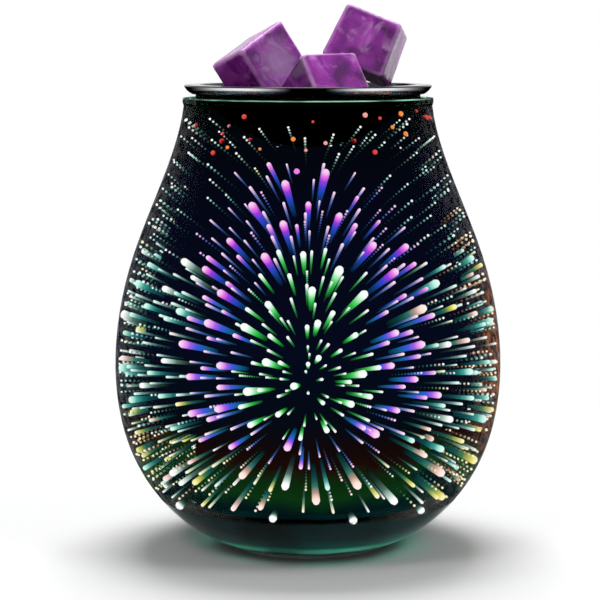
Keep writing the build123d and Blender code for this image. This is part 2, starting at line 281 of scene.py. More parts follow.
@dataclass(frozen=True)
class ShadeGlass(Finish):
    """Blown soda-lime glass: clear with a faint gloss, near black where thick; painted teal glow at its foot,
    painted highlight at its lip.

    Attributes:
        floor_z, lip_z: heights of the glass's floor and of the painted highlight line at its lip.
        gloss, least_bend: share of gloss at a grazing view, and the Fresnel share at which it starts.
        mottle_mm: width of the patches that break up the gloss.
        lip_line, lip_highlight, lip_cloud_mm: half the height of that painted highlight line, its colour, and
            its clouds' width.
        foot_under: colour of the thick bottom beneath its painted glow.
        foot_glow_bands: heights in the thick bottom and the colours of its painted glow there.
        foot_wander, foot_cloud_mm: how far the bands wander up and down, and over what width.
        foot_streak_mm: width of the patches in that painted glow.
        floor_fade: height over which the bottom turns into clear wall.
    """

    floor_z: float
    lip_z: float
    gloss: float = 0.34
    least_bend: float = 0.045
    mottle_mm: float = 3.0
    lip_line: float = 0.14 * MM
    # Painted highlight: colour of the emissive line along the lip.
    lip_highlight: str = "#97DDB8"
    lip_cloud_mm: float = 12.5
    foot_under: str = "#010504"
    # Painted glow: emission colours by height in the thick bottom, brightest in a teal line near the foot.
    foot_glow_bands: tuple[tuple[float, str], ...] = (
        (2.42 * MM, "#010504"),
        (3.74 * MM, "#4DB596"),
        (4.62 * MM, "#4DB596"),
        (6.16 * MM, "#0C4A44"),
        (10.12 * MM, "#052628"),
    )
    foot_wander: float = 1.6 * MM
    foot_cloud_mm: float = 16.67
    foot_streak_mm: float = 26.3
    floor_fade: float = 2.0 * MM

    def surface(self, tree: NodeTree) -> NodeSocket:
        """Adds the nodes of the finish.

        Args:
            tree: the material's node tree.

        Returns:
            The socket of the shader.
        """
        place = add_node(tree, "ShaderNodeTexCoord").outputs["Object"]
        height = add_node(tree, "ShaderNodeSeparateXYZ", {0: place}).outputs["Z"]
        bend = add_node(tree, "ShaderNodeFresnel", {"IOR": 1.45}).outputs[0]
        inside = add_node(tree, "ShaderNodeNewGeometry").outputs["Backfacing"]
        outside = add_node(tree, "ShaderNodeMath", {0: 1.0, 1: inside}, operation="SUBTRACT").outputs[0]
        edge = add_node(
            tree,
            "ShaderNodeMapRange",
            {
                "Value": bend,
                "From Min": self.least_bend,
                "From Max": 1.0,
                "To Min": 0.0,
                "To Max": self.gloss,
            },
        ).outputs["Result"]
        mottle = add_node(
            tree, "ShaderNodeTexNoise", {"Vector": place, "Scale": scale_of(self.mottle_mm), "Detail": 3.0}
        )
        uneven = add_node(
            tree,
            "ShaderNodeMapRange",
            {"Value": mottle.outputs["Fac"], "From Min": 0.38, "From Max": 0.66, "To Min": 0.1},
        ).outputs["Result"]
        patchy = add_node(tree, "ShaderNodeMath", {0: edge, 1: uneven}, operation="MULTIPLY").outputs[0]
        gleam = add_node(tree, "ShaderNodeMath", {0: patchy, 1: outside}, operation="MULTIPLY").outputs[0]
        clear = add_node(tree, "ShaderNodeBsdfTransparent")
        gloss = add_node(tree, "ShaderNodeBsdfGlossy", {"Roughness": 0.04})
        wall = add_node(tree, "ShaderNodeMixShader", {0: gleam, 1: clear.outputs[0], 2: gloss.outputs[0]})
        lipped = self.lip(tree, place, height, wall.outputs[0])
        return self.foot(tree, place, height, outside, lipped)

    def lip(self, tree: NodeTree, place: NodeSocket, height: NodeSocket, wall: NodeSocket) -> NodeSocket:
        """Adds a painted highlight: a thin emissive line along the lip.

        Args:
            tree: the material's node tree.
            place: object coordinates.
            height: their height.
            wall: shader of the clear wall.

        Returns:
            The socket of the wall with its lip.
        """
        cloud = add_node(
            tree,
            "ShaderNodeTexNoise",
            {"Vector": place, "Scale": scale_of(self.lip_cloud_mm), "Detail": 2.0},
        )
        near = add_node(
            tree, "ShaderNodeMath", {0: height, 1: self.lip_z, 2: self.lip_line}, operation="COMPARE"
        ).outputs[0]
        uneven = add_node(
            tree,
            "ShaderNodeMapRange",
            {
                "Value": cloud.outputs["Fac"],
                "From Min": 0.44,
                "From Max": 0.62,
                "To Min": 0.1,
                "To Max": 0.9,
            },
        ).outputs["Result"]
        share = add_node(tree, "ShaderNodeMath", {0: near, 1: uneven}, operation="MULTIPLY").outputs[0]
        # Painted highlight: the lip line gives off its own light, unevenly along its length.
        light = add_node(tree, "ShaderNodeEmission", {"Color": linear(self.lip_highlight), "Strength": 1.0})
        lined = add_node(tree, "ShaderNodeMixShader", {0: share, 1: wall, 2: light.outputs[0]})
        return lined.outputs[0]

    def foot(
        self,
        tree: NodeTree,
        place: NodeSocket,
        height: NodeSocket,
        outside: NodeSocket,
        wall: NodeSocket,
    ) -> NodeSocket:
        """Adds the thick bottom below the clear wall, with its painted glow.

        Args:
            tree: the material's node tree.
            place: object coordinates.
            height: their height.
            outside: 1 on faces seen from outside the glass.
            wall: shader of the clear wall.

        Returns:
            The socket of the whole shader.
        """
        cloud = add_node(
            tree,
            "ShaderNodeTexNoise",
            {"Vector": place, "Scale": scale_of(self.foot_cloud_mm), "Detail": 3.0},
        )
        uneven = add_node(
            tree,
            "ShaderNodeMath",
            {0: cloud.outputs["Fac"], 1: self.foot_wander, 2: height},
            operation="MULTIPLY_ADD",
        ).outputs[0]
        middle = self.foot_wander / 2
        share = add_node(
            tree,
            "ShaderNodeMapRange",
            {"Value": uneven, "From Min": middle, "From Max": self.floor_z + middle},
        ).outputs["Result"]
        colour = add_node(tree, "ShaderNodeValToRGB", {"Fac": share})
        set_stops(colour, [(z / self.floor_z, code) for z, code in self.foot_glow_bands])
        streak = add_node(
            tree,
            "ShaderNodeTexNoise",
            {"Vector": place, "Scale": scale_of(self.foot_streak_mm), "Detail": 3.0},
        )
        # Painted glow: patches of emission in the thick bottom, shown only on faces seen from outside.
        painted_glow_patches = add_node(
            tree,
            "ShaderNodeMapRange",
            {
                "Value": streak.outputs["Fac"],
                "From Min": 0.36,
                "From Max": 0.62,
                "To Min": 0.12,
                "To Max": 0.6,
            },
        ).outputs["Result"]
        shown = add_node(tree, "ShaderNodeMath", {0: painted_glow_patches, 1: outside}, operation="MULTIPLY").outputs[0]
        thick = add_node(
            tree,
            "ShaderNodeBsdfPrincipled",
            {
                "Base Color": linear(self.foot_under),
                "Roughness": 0.06,
                "Specular IOR Level": 0.08,
                "Emission Color": colour.outputs["Color"],
                "Emission Strength": shown,
            },
        )
        solid = add_node(
            tree,
            "ShaderNodeMapRange",
            {
                "Value": height,
                "From Min": self.floor_z,
                "From Max": self.floor_z + self.floor_fade,
                "To Min": 0.97,
                "To Max": 0.0,
            },
            interpolation_type="SMOOTHSTEP",
        ).outputs["Result"]
        whole = add_node(tree, "ShaderNodeMixShader", {0: solid, 1: wall, 2: thick.outputs[0]})
        return whole.outputs[0]


@dataclass(frozen=True)
class MirrorFilm(Finish):
    """Dark mirror coat, given as emission alone: near black with faint painted coloured glows; a lining lets
    light in from behind.

    Attributes:
        low_z, high_z: heights between which the bands lie.
        one_way: True for the lining, which is clear from behind.
        glow: strength of its painted glow.
        cloud_mm, wander: width of its clouds, and how far they shift the bands up and down.
        bands: places from 0, the lower height, to 1, the upper one, and the colours of the painted glow
            there.
        amber, amber_x, amber_fade: colour of the painted glow at the right, where it starts, and how soon it
            is full.
        speck_mm: width of the specks in that glow.
    """

    low_z: float
    high_z: float
    one_way: bool = False
    glow: float = 1.0
    cloud_mm: float = 11.11
    wander: float = 8.0 * MM
    # Painted glow: emission colours by height, dark teal and green low down, a red band, then navy.
    bands: tuple[tuple[float, str], ...] = (
        (0.0, "#020F14"),
        (0.02, "#031A18"),
        (0.05, "#0B3210"),
        (0.085, "#0A2A0D"),
        (0.125, "#1A0A07"),
        (0.165, "#120808"),
        (0.23, "#050A14"),
        (0.4, "#050A1C"),
        (0.75, "#050716"),
        (0.96, "#020504"),
        (0.99, "#03130B"),
        (1.0, "#052A18"),
    )
    # Painted glow: amber specks on the right side of the film.
    amber: str = "#B4662A"
    amber_x: float = 55.5 * MM
    amber_fade: float = 9.0 * MM
    speck_mm: float = 2.38

    def surface(self, tree: NodeTree) -> NodeSocket:
        """Adds the nodes of the finish.

        Args:
            tree: the material's node tree.

        Returns:
            The socket of the shader.
        """
        place = add_node(tree, "ShaderNodeTexCoord").outputs["Object"]
        axes = add_node(tree, "ShaderNodeSeparateXYZ", {0: place})
        cloud = add_node(
            tree, "ShaderNodeTexNoise", {"Vector": place, "Scale": scale_of(self.cloud_mm), "Detail": 5.0}
        )
        uneven = add_node(
            tree,
            "ShaderNodeMath",
            {0: cloud.outputs["Fac"], 1: self.wander, 2: axes.outputs["Z"]},
            operation="MULTIPLY_ADD",
        ).outputs[0]
        middle = self.wander / 2
        share = add_node(
            tree,
            "ShaderNodeMapRange",
            {"Value": uneven, "From Min": self.low_z + middle, "From Max": self.high_z + middle},
        ).outputs["Result"]
        colour = add_node(tree, "ShaderNodeValToRGB", {"Fac": share})
        set_stops(colour, list(self.bands))
        speck = add_node(
            tree, "ShaderNodeTexNoise", {"Vector": place, "Scale": scale_of(self.speck_mm), "Detail": 3.0}
        )
        spotted = add_node(
            tree, "ShaderNodeMapRange", {"Value": speck.outputs["Fac"], "From Min": 0.45, "From Max": 0.7}
        ).outputs["Result"]
        side = add_node(
            tree,
            "ShaderNodeMapRange",
            {
                "Value": axes.outputs["X"],
                "From Min": self.amber_x,
                "From Max": self.amber_x + self.amber_fade,
            },
            interpolation_type="SMOOTHSTEP",
        ).outputs["Result"]
        warm = add_node(tree, "ShaderNodeMath", {0: spotted, 1: side}, operation="MULTIPLY").outputs[0]
        tinted = add_node(
            tree,
            "ShaderNodeMix",
            {"Factor": warm, 6: colour.outputs["Color"], 7: linear(self.amber)},
            data_type="RGBA",
        ).outputs[2]
        # Painted glow: the coat only gives off these colours and takes no light.
        coat = add_node(tree, "ShaderNodeEmission", {"Color": tinted, "Strength": self.glow})
        if not self.one_way:
            return coat.outputs[0]
        behind = add_node(tree, "ShaderNodeNewGeometry").outputs["Backfacing"]
        clear = add_node(tree, "ShaderNodeBsdfTransparent")
        lining = add_node(tree, "ShaderNodeMixShader", {0: behind, 1: coat.outputs[0], 2: clear.outputs[0]})
        return lining.outputs[0]


@dataclass(frozen=True)
class SparkLight(Finish):
    """Points of light in the film; the colour of each is painted on its mesh.

    Attributes:
        attribute: name of the painted colours.
        strength: strength of the light.
    """

    attribute: str = "glow"
    strength: float = 1.0

    def surface(self, tree: NodeTree) -> NodeSocket:
        """Adds the nodes of the finish.

        Args:
            tree: the material's node tree.

        Returns:
            The socket of the shader.
        """
        paint = add_node(tree, "ShaderNodeAttribute", attribute_name=self.attribute)
        light = add_node(
            tree, "ShaderNodeEmission", {"Color": paint.outputs["Color"], "Strength": self.strength}
        )
        return light.outputs[0]


@dataclass(frozen=True)
class MarbledWax(Finish):
    """Cast paraffin wax: deep magenta purple with paler wisps from pouring, a painted reflection on one side,
    soft gloss.

    Attributes:
        painted_reflection_at: middle of the pale patch of painted reflection.
        deep, body, bright: colours of the swirls.
        wisp, painted_reflection: colours of the wisps, also of the painted highlight on the edges, and of the
            painted reflection.
        swirl_mm, wisp_mm: width of the swirls and of the wisps.
        relief: depth of the wisps.
        scatter: how far light spreads in the wax.
        painted_reflection_reach, painted_reflection_fade: distance up to which the painted reflection is
        full, and over which it then fades.
        painted_reflection_ragged: how far the wisps shift its edge.
    """

    painted_reflection_at: tuple[float, float, float]
    deep: str = "#5A0A68"
    body: str = "#8E2299"
    bright: str = "#B444BC"
    wisp: str = "#DFA6E2"
    # Painted reflection: colour of a pale lilac patch on one side of a melt.
    painted_reflection: str = "#B191BC"
    swirl_mm: float = 8.0
    wisp_mm: float = 6.5
    relief: float = 0.12 * MM
    scatter: float = 2.0 * MM
    painted_reflection_reach: float = 13.0 * MM
    painted_reflection_fade: float = 9.0 * MM
    painted_reflection_ragged: float = 20.0 * MM

    def surface(self, tree: NodeTree) -> NodeSocket:
        """Adds the nodes of the finish.

        Args:
            tree: the material's node tree.

        Returns:
            The socket of the shader.
        """
        place = add_node(tree, "ShaderNodeTexCoord").outputs["Object"]
        swirl = add_node(
            tree,
            "ShaderNodeTexNoise",
            {"Vector": place, "Scale": scale_of(self.swirl_mm), "Detail": 2.0, "Distortion": 0.8},
        ).outputs["Fac"]
        colour = add_node(tree, "ShaderNodeValToRGB", {"Fac": swirl})
        set_stops(colour, [(0.32, self.deep), (0.5, self.body), (0.7, self.bright)])
        wisp = add_node(
            tree,
            "ShaderNodeTexNoise",
            {"Vector": place, "Scale": scale_of(self.wisp_mm), "Detail": 2.0, "Distortion": 1.1},
        ).outputs["Fac"]
        thin = add_node(
            tree,
            "ShaderNodeMapRange",
            {"Value": wisp, "From Min": 0.55, "From Max": 0.8, "To Max": 0.6},
            interpolation_type="SMOOTHSTEP",
        ).outputs["Result"]
        wispy = add_node(
            tree,
            "ShaderNodeMix",
            {"Factor": thin, 6: colour.outputs["Color"], 7: linear(self.wisp)},
            data_type="RGBA",
        ).outputs[2]
        # Painted reflection: the pale patch mixed over the colours.
        with_painted_reflection = add_node(
            tree,
            "ShaderNodeMix",
            {"Factor": self.painted_reflection_share(tree, place, wisp), 6: wispy, 7: linear(self.painted_reflection)},
            data_type="RGBA",
        ).outputs[2]
        # Painted highlight: pale lines along the edges, found by pointiness, in the colour of the wisps.
        corner = add_node(tree, "ShaderNodeNewGeometry").outputs["Pointiness"]
        edge_highlight = add_node(
            tree,
            "ShaderNodeMapRange",
            {"Value": corner, "From Min": 0.505, "From Max": 0.535, "To Max": 0.75},
            interpolation_type="SMOOTHSTEP",
        ).outputs["Result"]
        with_edge_highlight = add_node(
            tree, "ShaderNodeMix", {"Factor": edge_highlight, 6: with_painted_reflection, 7: linear(self.wisp)}, data_type="RGBA"
        ).outputs[2]
        bump = add_node(tree, "ShaderNodeBump", {"Height": wisp, "Distance": self.relief, "Strength": 0.5})
        rough = add_node(
            tree,
            "ShaderNodeMapRange",
            {"Value": swirl, "From Min": NOISE_LOW, "From Max": NOISE_HIGH, "To Min": 0.16, "To Max": 0.34},
        )
        shader = add_node(
            tree,
            "ShaderNodeBsdfPrincipled",
            {
                "Base Color": with_edge_highlight,
                "Roughness": rough.outputs["Result"],
                "Normal": bump.outputs["Normal"],
                "IOR": 1.44,
                "Specular IOR Level": 0.3,
                "Subsurface Weight": 0.15,
                "Subsurface Radius": (0.6, 0.3, 0.6),
                "Subsurface Scale": self.scatter,
                "Coat Weight": 0.06,
                "Coat Roughness": 0.08,
            },
        )
        return shader.outputs["BSDF"]

    def painted_reflection_share(self, tree: NodeTree, place: NodeSocket, wisp: NodeSocket) -> NodeSocket:
        """Adds the painted reflection: a pale patch on one side.

        Args:
            tree: the material's node tree.
            place: object coordinates.
            wisp: noise that breaks up its edge.

        Returns:
            The socket of its share.
        """
        off = add_node(
            tree, "ShaderNodeVectorMath", {0: place, 1: self.painted_reflection_at}, operation="DISTANCE"
        ).outputs["Value"]
        ragged = add_node(
            tree, "ShaderNodeMath", {0: wisp, 1: self.painted_reflection_ragged, 2: off}, operation="MULTIPLY_ADD"
        ).outputs[0]
        return add_node(
            tree,
            "ShaderNodeMapRange",
            {
                "Value": ragged,
                "From Min": self.painted_reflection_reach,
                "From Max": self.painted_reflection_reach + self.painted_reflection_fade,
                "To Min": 0.8,
                "To Max": 0.0,
            },
            interpolation_type="SMOOTHSTEP",
        ).outputs["Result"]


@dataclass(frozen=True)
class DishEnamel(Finish):
    """Stove enamel on spun aluminium: black gloss with a faint orange peel, painted highlight bands under its
    rim.

    Attributes:
        enamel, sheen: colours between which the enamel shifts.
        under, band_highlight: colours of the matt underside and of the painted highlight bands on it.
        peel_mm, peel_relief: width and depth of the orange peel.
        rim_z: height at which the rim starts.
        down_below: upward share of a face's normal below which the face counts as underside.
        band_from, band_to: distances aside between which a band lies.
        band_core: half the width of its full light.
    """

    enamel: str = "#050506"
    sheen: str = "#0A0A0C"
    under: str = "#010101"
    # Tint of the painted highlight bands, glossy only at set distances to both sides.
    band_highlight: str = "#E6E6EC"
    peel_mm: float = 2.4
    peel_relief: float = 0.01 * MM
    rim_z: float = 149.0 * MM
    down_below: float = -0.15
    band_from: float = 5.0 * MM
    band_to: float = 38.0 * MM
    band_core: float = 2.0 * MM

    def surface(self, tree: NodeTree) -> NodeSocket:
        """Adds the nodes of the finish.

        Args:
            tree: the material's node tree.

        Returns:
            The socket of the shader.
        """
        place = add_node(tree, "ShaderNodeTexCoord").outputs["Object"]
        peel = add_node(
            tree, "ShaderNodeTexNoise", {"Vector": place, "Scale": scale_of(self.peel_mm), "Detail": 1.0}
        ).outputs["Fac"]
        colour = add_node(tree, "ShaderNodeValToRGB", {"Fac": peel})
        set_stops(colour, [(0.35, self.enamel), (0.65, self.sheen)])
        bump = add_node(
            tree, "ShaderNodeBump", {"Height": peel, "Distance": self.peel_relief, "Strength": 0.5}
        )
        rough = add_node(tree, "ShaderNodeMapRange", {"Value": peel, "To Min": 0.06, "To Max": 0.16})
        gloss = add_node(
            tree,
            "ShaderNodeBsdfPrincipled",
            {
                "Base Color": colour.outputs["Color"],
                "Roughness": rough.outputs["Result"],
                "Normal": bump.outputs[0],
                "Specular IOR Level": 0.3,
            },
        )
        bare = add_node(tree, "ShaderNodeBsdfDiffuse", {"Color": linear(self.under)})
        # Painted highlight: gloss shown only in the bands chosen by distance aside.
        shine = add_node(tree, "ShaderNodeBsdfGlossy", {"Color": linear(self.band_highlight), "Roughness": 0.22})
        banded = add_node(
            tree,
            "ShaderNodeMixShader",
            {0: self.bands(tree, place), 1: bare.outputs[0], 2: shine.outputs[0]},
        ).outputs[0]
        both = add_node(
            tree, "ShaderNodeMixShader", {0: self.underside(tree, place), 1: gloss.outputs[0], 2: banded}
        )
        return both.outputs[0]

    def underside(self, tree: NodeTree, place: NodeSocket) -> NodeSocket:
        """Adds a test for faces that look down, or outwards below the rim.

        Args:
            tree: the material's node tree.
            place: object coordinates.

        Returns:
            The socket of the test.
        """
        facing = add_node(tree, "ShaderNodeNewGeometry").outputs["Normal"]
        up = add_node(tree, "ShaderNodeSeparateXYZ", {0: facing}).outputs["Z"]
        down = add_node(
            tree, "ShaderNodeMath", {0: up, 1: self.down_below}, operation="LESS_THAN"
        ).outputs[0]
        axes = add_node(tree, "ShaderNodeSeparateXYZ", {0: place}).outputs
        flat = add_node(tree, "ShaderNodeCombineXYZ", {0: axes["X"], 1: axes["Y"]}).outputs[0]
        out = add_node(
            tree, "ShaderNodeVectorMath", {0: facing, 1: flat}, operation="DOT_PRODUCT"
        ).outputs["Value"]
        outwards = add_node(tree, "ShaderNodeMath", {0: out, 1: 0.0}, operation="GREATER_THAN").outputs[0]
        low = add_node(
            tree, "ShaderNodeMath", {0: axes["Z"], 1: self.rim_z}, operation="LESS_THAN"
        ).outputs[0]
        collar = add_node(tree, "ShaderNodeMath", {0: outwards, 1: low}, operation="MULTIPLY").outputs[0]
        return add_node(tree, "ShaderNodeMath", {0: down, 1: collar}, operation="MAXIMUM").outputs[0]

    def bands(self, tree: NodeTree, place: NodeSocket) -> NodeSocket:
        """Adds the painted highlight: fans of gloss placed at set distances to both sides of the rim.

        Args:
            tree: the material's node tree.
            place: object coordinates.

        Returns:
            The socket of their share, nothing below the rim.
        """
        axes = add_node(tree, "ShaderNodeSeparateXYZ", {0: place}).outputs
        aside = add_node(tree, "ShaderNodeMath", {0: axes["X"]}, operation="ABSOLUTE").outputs[0]
        middle = (self.band_from + self.band_to) / 2
        off = add_node(tree, "ShaderNodeMath", {0: aside, 1: middle}, operation="SUBTRACT").outputs[0]
        near = add_node(tree, "ShaderNodeMath", {0: off}, operation="ABSOLUTE").outputs[0]
        fan = add_node(
            tree,
            "ShaderNodeMapRange",
            {
                "Value": near,
                "From Min": self.band_core,
                "From Max": middle - self.band_from,
                "To Min": 1.0,
                "To Max": 0.0,
            },
            interpolation_type="SMOOTHSTEP",
        ).outputs["Result"]
        on_rim = add_node(
            tree, "ShaderNodeMath", {0: axes["Z"], 1: self.rim_z}, operation="GREATER_THAN"
        ).outputs[0]
        return add_node(tree, "ShaderNodeMath", {0: fan, 1: on_rim}, operation="MULTIPLY").outputs[0]


@dataclass(frozen=True)
class StudioFloor(Finish):
    """White sweep: shows the shadow near the object and is plain white further off.

    Attributes:
        paper: colour of the sweep near the object.
        white_from, white_at: distances at which it starts to turn white and is white.
    """

    paper: str = "#F4F4F4"
    white_from: float = 120.0 * MM
    white_at: float = 320.0 * MM

    def surface(self, tree: NodeTree) -> NodeSocket:
        """Adds the nodes of the finish.

        Args:
            tree: the material's node tree.

        Returns:
            The socket of the shader.
        """
        place = add_node(tree, "ShaderNodeTexCoord").outputs["Object"]
        away = add_node(tree, "ShaderNodeVectorMath", {0: place}, operation="LENGTH").outputs["Value"]
        share = add_node(
            tree,
            "ShaderNodeMapRange",
            {"Value": away, "From Min": self.white_from, "From Max": self.white_at},
            interpolation_type="SMOOTHSTEP",
        ).outputs["Result"]
        seen = seen_rays(tree)
        share = add_node(tree, "ShaderNodeMath", {0: share, 1: seen}, operation="MULTIPLY").outputs[0]
        paper = add_node(tree, "ShaderNodeBsdfDiffuse", {"Color": linear(self.paper)})
        white = add_node(tree, "ShaderNodeEmission", {"Color": WHITE, "Strength": 1.0})
        mixed = add_node(tree, "ShaderNodeMixShader", {0: share, 1: paper.outputs[0], 2: white.outputs[0]})
        return mixed.outputs[0]


def seen_rays(tree: NodeTree) -> NodeSocket:
    """Adds a test that is 1 for rays that show a background: direct, mirrored or through glass.

    Args:
        tree: the node tree of the floor or the world.

    Returns:
        The socket of the test.
    """
    path = add_node(tree, "ShaderNodeLightPath").outputs
    mirrored = add_node(
        tree, "ShaderNodeMath", {0: path["Is Camera Ray"], 1: path["Is Glossy Ray"]}, operation="MAXIMUM"
    ).outputs[0]
    return add_node(
        tree, "ShaderNodeMath", {0: mirrored, 1: path["Is Transmission Ray"]}, operation="MAXIMUM"
    ).outputs[0]


def new_object(name: str, mesh: Mesh, material: Material) -> Object:
    """Puts a mesh in the scene as an object at the origin.

    Args:
        name: name of the mesh and the object.
        mesh: the mesh, already in its place.
        material: the one material it gets.

    Returns:
        The new object.
    """
    mesh.name = name
    mesh.materials.clear()
    mesh.materials.append(material)
    made = bpy.data.objects.new(name, mesh)
    bpy.context.scene.collection.objects.link(made)
    return made


def film_piece(name: str, mesh: Mesh, material: Material) -> None:
    """Puts a piece of the film in the scene, where it stays with the base.

    Args:
        name: name of the piece.
        mesh: its mesh, already in its place.
        material: its material.
    """
    piece = new_object(name, mesh, material)
    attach(piece, "base")
    LOG.info("%s: %d faces", piece.name, len(mesh.polygons))


def dress(node: str, material: Material) -> None:
    """Gives a CAD node one material in all its slots.

    Args:
        node: the node's name.
        material: its material.
    """
    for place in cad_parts[node].material_slots:
        place.material = material


def mesh_of(shape: bmesh.types.BMesh, name: str) -> Mesh:
    """Turns an edited shape into a mesh and frees the shape.

    Args:
        shape: the shape.
        name: name of the mesh.

    Returns:
        The new mesh.
    """
    mesh = bpy.data.meshes.new(name)
    shape.to_mesh(mesh)
    shape.free()
    return mesh


def plain_mesh(carrier: Object) -> Mesh:
    """Turns an object with modifiers into a mesh without them, and removes the object.

    Args:
        carrier: the object.

    Returns:
        Its evaluated mesh.
    """
    evaluated = carrier.evaluated_get(bpy.context.evaluated_depsgraph_get())
    mesh = bpy.data.meshes.new_from_object(evaluated)
    bpy.data.objects.remove(carrier)
    return mesh


def turned_mesh(outline: list[tuple[float, float]], segments: int, inwards: bool) -> Mesh:
    """Turns an outline about Z.

    Args:
        outline: radius and height of its points, from the bottom up.
        segments: number of steps around.
        inwards: True for faces that look at the axis.

    Returns:
        A mesh with smooth faces; an end at radius 0 is closed.
    """
    shape = bmesh.new()
    rings = []
    for radius, z in outline:
        steps = segments if radius > 0 else 1
        angles = [2 * math.pi * i / segments for i in range(steps)]
        rings.append([shape.verts.new((radius * math.cos(a), radius * math.sin(a), z)) for a in angles])
    for low, high in zip(rings, rings[1:]):
        for i in range(segments):
            below = [low[i % len(low)], low[(i + 1) % len(low)]]
            above = [high[(i + 1) % len(high)], high[i % len(high)]]
            face = shape.faces.new(list(dict.fromkeys(below + above)))
            face.smooth = True
    bmesh.ops.recalc_face_normals(shape, faces=shape.faces)
    middle = shape.faces[len(shape.faces) // 2]
    outwards = middle.normal.xy.dot(middle.calc_center_median().xy) > 0
    if outwards == inwards:
        bmesh.ops.reverse_faces(shape, faces=shape.faces)
    return mesh_of(shape, "turned")


def take_values(mesh: Mesh, label: str, width: int) -> np.ndarray:
    """Reads an attribute of a mesh's points and removes it.

    Args:
        mesh: the mesh.
        label: name of the attribute.
        width: 3 for vectors, 1 for plain numbers.

    Returns:
        Its values, one row for each point.
    """
    values = np.empty(len(mesh.vertices) * width, np.float32)
    mesh.attributes[label].data.foreach_get("vector" if width == 3 else "value", values)
    mesh.attributes.remove(mesh.attributes[label])
    return values.reshape(-1, width)


def drop_points(mesh: Mesh, spare: np.ndarray) -> None:
    """Takes points and their faces out of a mesh.

    Args:
        mesh: the mesh.
        spare: True at each point to delete.
    """
    shape = bmesh.new()
    shape.from_mesh(mesh)
    shape.verts.ensure_lookup_table()
    bmesh.ops.delete(shape, geom=[shape.verts[i] for i in np.flatnonzero(spare)], context="VERTS")
    shape.to_mesh(mesh)
    shape.free()


@dataclass
class GlassShade:
    """Glass egg with its mirror lining and a dark sheet of painted shade that hides the lamp behind the
    sparks.

    Attributes:
        film_gap: distance of the lining from the glass's outer face.
        film_low, film_below_lip: height at which the lining starts, and distance below the lip where it ends.
        film_rows, shade_sheet_rows, segments: steps of the meshes upwards and around.
        root_gap: distance of the pinholes from the glass's outer face.
        shade_sheet_clear: room between the painted shade sheet and what it goes round.
        shade_sheet_depth: distance of the painted shade sheet from the glass's outer face.
        shade_sheet_aside: how much further to both sides the painted shade sheet reaches.
        wall: the glass, for measuring.
        floor_z, lip_z: heights of the glass's floor and its lip.
    """

    film_gap: float = 0.12 * MM
    film_low: float = 13.0 * MM
    film_below_lip: float = 0.6 * MM
    film_rows: int = 110
    root_gap: float = 1.4 * MM
    segments: int = 144
    shade_sheet_clear: float = 1.2 * MM
    shade_sheet_depth: float = 19.5 * MM
    shade_sheet_aside: float = 10.0 * MM
    shade_sheet_rows: int = 24
    wall: BVHTree = field(init=False)
    floor_z: float = field(init=False)
    lip_z: float = field(init=False)

    def __post_init__(self) -> None:
        """Reads the glass off the frame."""
        shape = bmesh.new()
        shape.from_mesh(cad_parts["glass_shade"].data)
        self.wall = BVHTree.FromBMesh(shape)
        shape.free()
        self.floor_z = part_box("upper_gasket")[0].z
        self.lip_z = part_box("glass_shade")[1].z

    def outer_radius(self, z: float) -> float:
        """Radius of the outer wall at a height, measured to the left, clear of the tunnel."""
        return self.wall.ray_cast(Vector((-1, 0, z)), Vector((1, 0, 0)))[0].xy.length

    def film_outline(self) -> list[tuple[float, float]]:
        """Radius and height along the lining, which curved glass shows right out at its outer face."""
        heights = np.linspace(self.film_low, self.lip_z - self.film_below_lip, self.film_rows)
        return [(self.outer_radius(z) - self.film_gap, float(z)) for z in heights]

    def pinholes(self, low_z: float, top_z: float) -> Mesh:
        """Makes the surface that the film's pinholes lie on.

        Args:
            low_z: height at which it starts.
            top_z: height at which it ends.

        Returns:
            A turned sheet that faces inwards.
        """
        heights = np.linspace(low_z, top_z, self.film_rows)
        outline = [(self.outer_radius(z) - self.root_gap, float(z)) for z in heights]
        return turned_mesh(outline, self.segments, inwards=True)

    def shade_sheet_outline(self) -> list[tuple[float, float]]:
        """Draws the painted shade sheet: a dark vase round the lamp, open at its top.

        Returns:
            Radius and height of its points, from the bottom up.
        """
        clear = self.shade_sheet_clear
        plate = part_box("reflector_plate")[1]
        low = self.floor_z + clear
        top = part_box("wax_dish")[0].z - clear
        rim = plate.x + clear
        foot = [(0.0, low), (plate.x, low), (rim, low + clear), (rim, plate.z + clear)]
        heights = np.linspace(plate.z + 4 * clear, top, self.shade_sheet_rows)
        return foot + [(self.outer_radius(z) - self.shade_sheet_depth, float(z)) for z in heights]

    def shade_sheet(self) -> Mesh:
        """Makes the painted shade sheet, oval above the lamp's plate so that it reaches further to both
        sides.

        Returns:
            Its mesh.
        """
        mesh = turned_mesh(self.shade_sheet_outline(), self.segments, inwards=False)
        plate_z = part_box("reflector_plate")[1].z + 2 * self.shade_sheet_clear
        for vert in mesh.vertices:
            if vert.co.z > plate_z:
                vert.co.x *= 1 + self.shade_sheet_aside / vert.co.xy.length
        return mesh

    def build(self) -> None:
        """Dresses the glass and makes its lining and the painted shade sheet."""
        lip_z = self.lip_z - self.film_below_lip
        dress("glass_shade", ShadeGlass("Blown soda-lime glass", self.floor_z, lip_z).material())
        film = MirrorFilm("Mirror film lining", self.floor_z, self.lip_z, one_way=True).material()
        film.use_backface_culling = True
        # Painted shade: an opaque dark sheet inside the glass, behind the sparks, with the film's painted
        # glows.
        shade_sheet = MirrorFilm("Mirror film painted shade", self.floor_z, self.lip_z).material()
        film_piece("film_lining", turned_mesh(self.film_outline(), self.segments, inwards=True), film)
        film_piece("film_depth", self.shade_sheet(), shade_sheet)


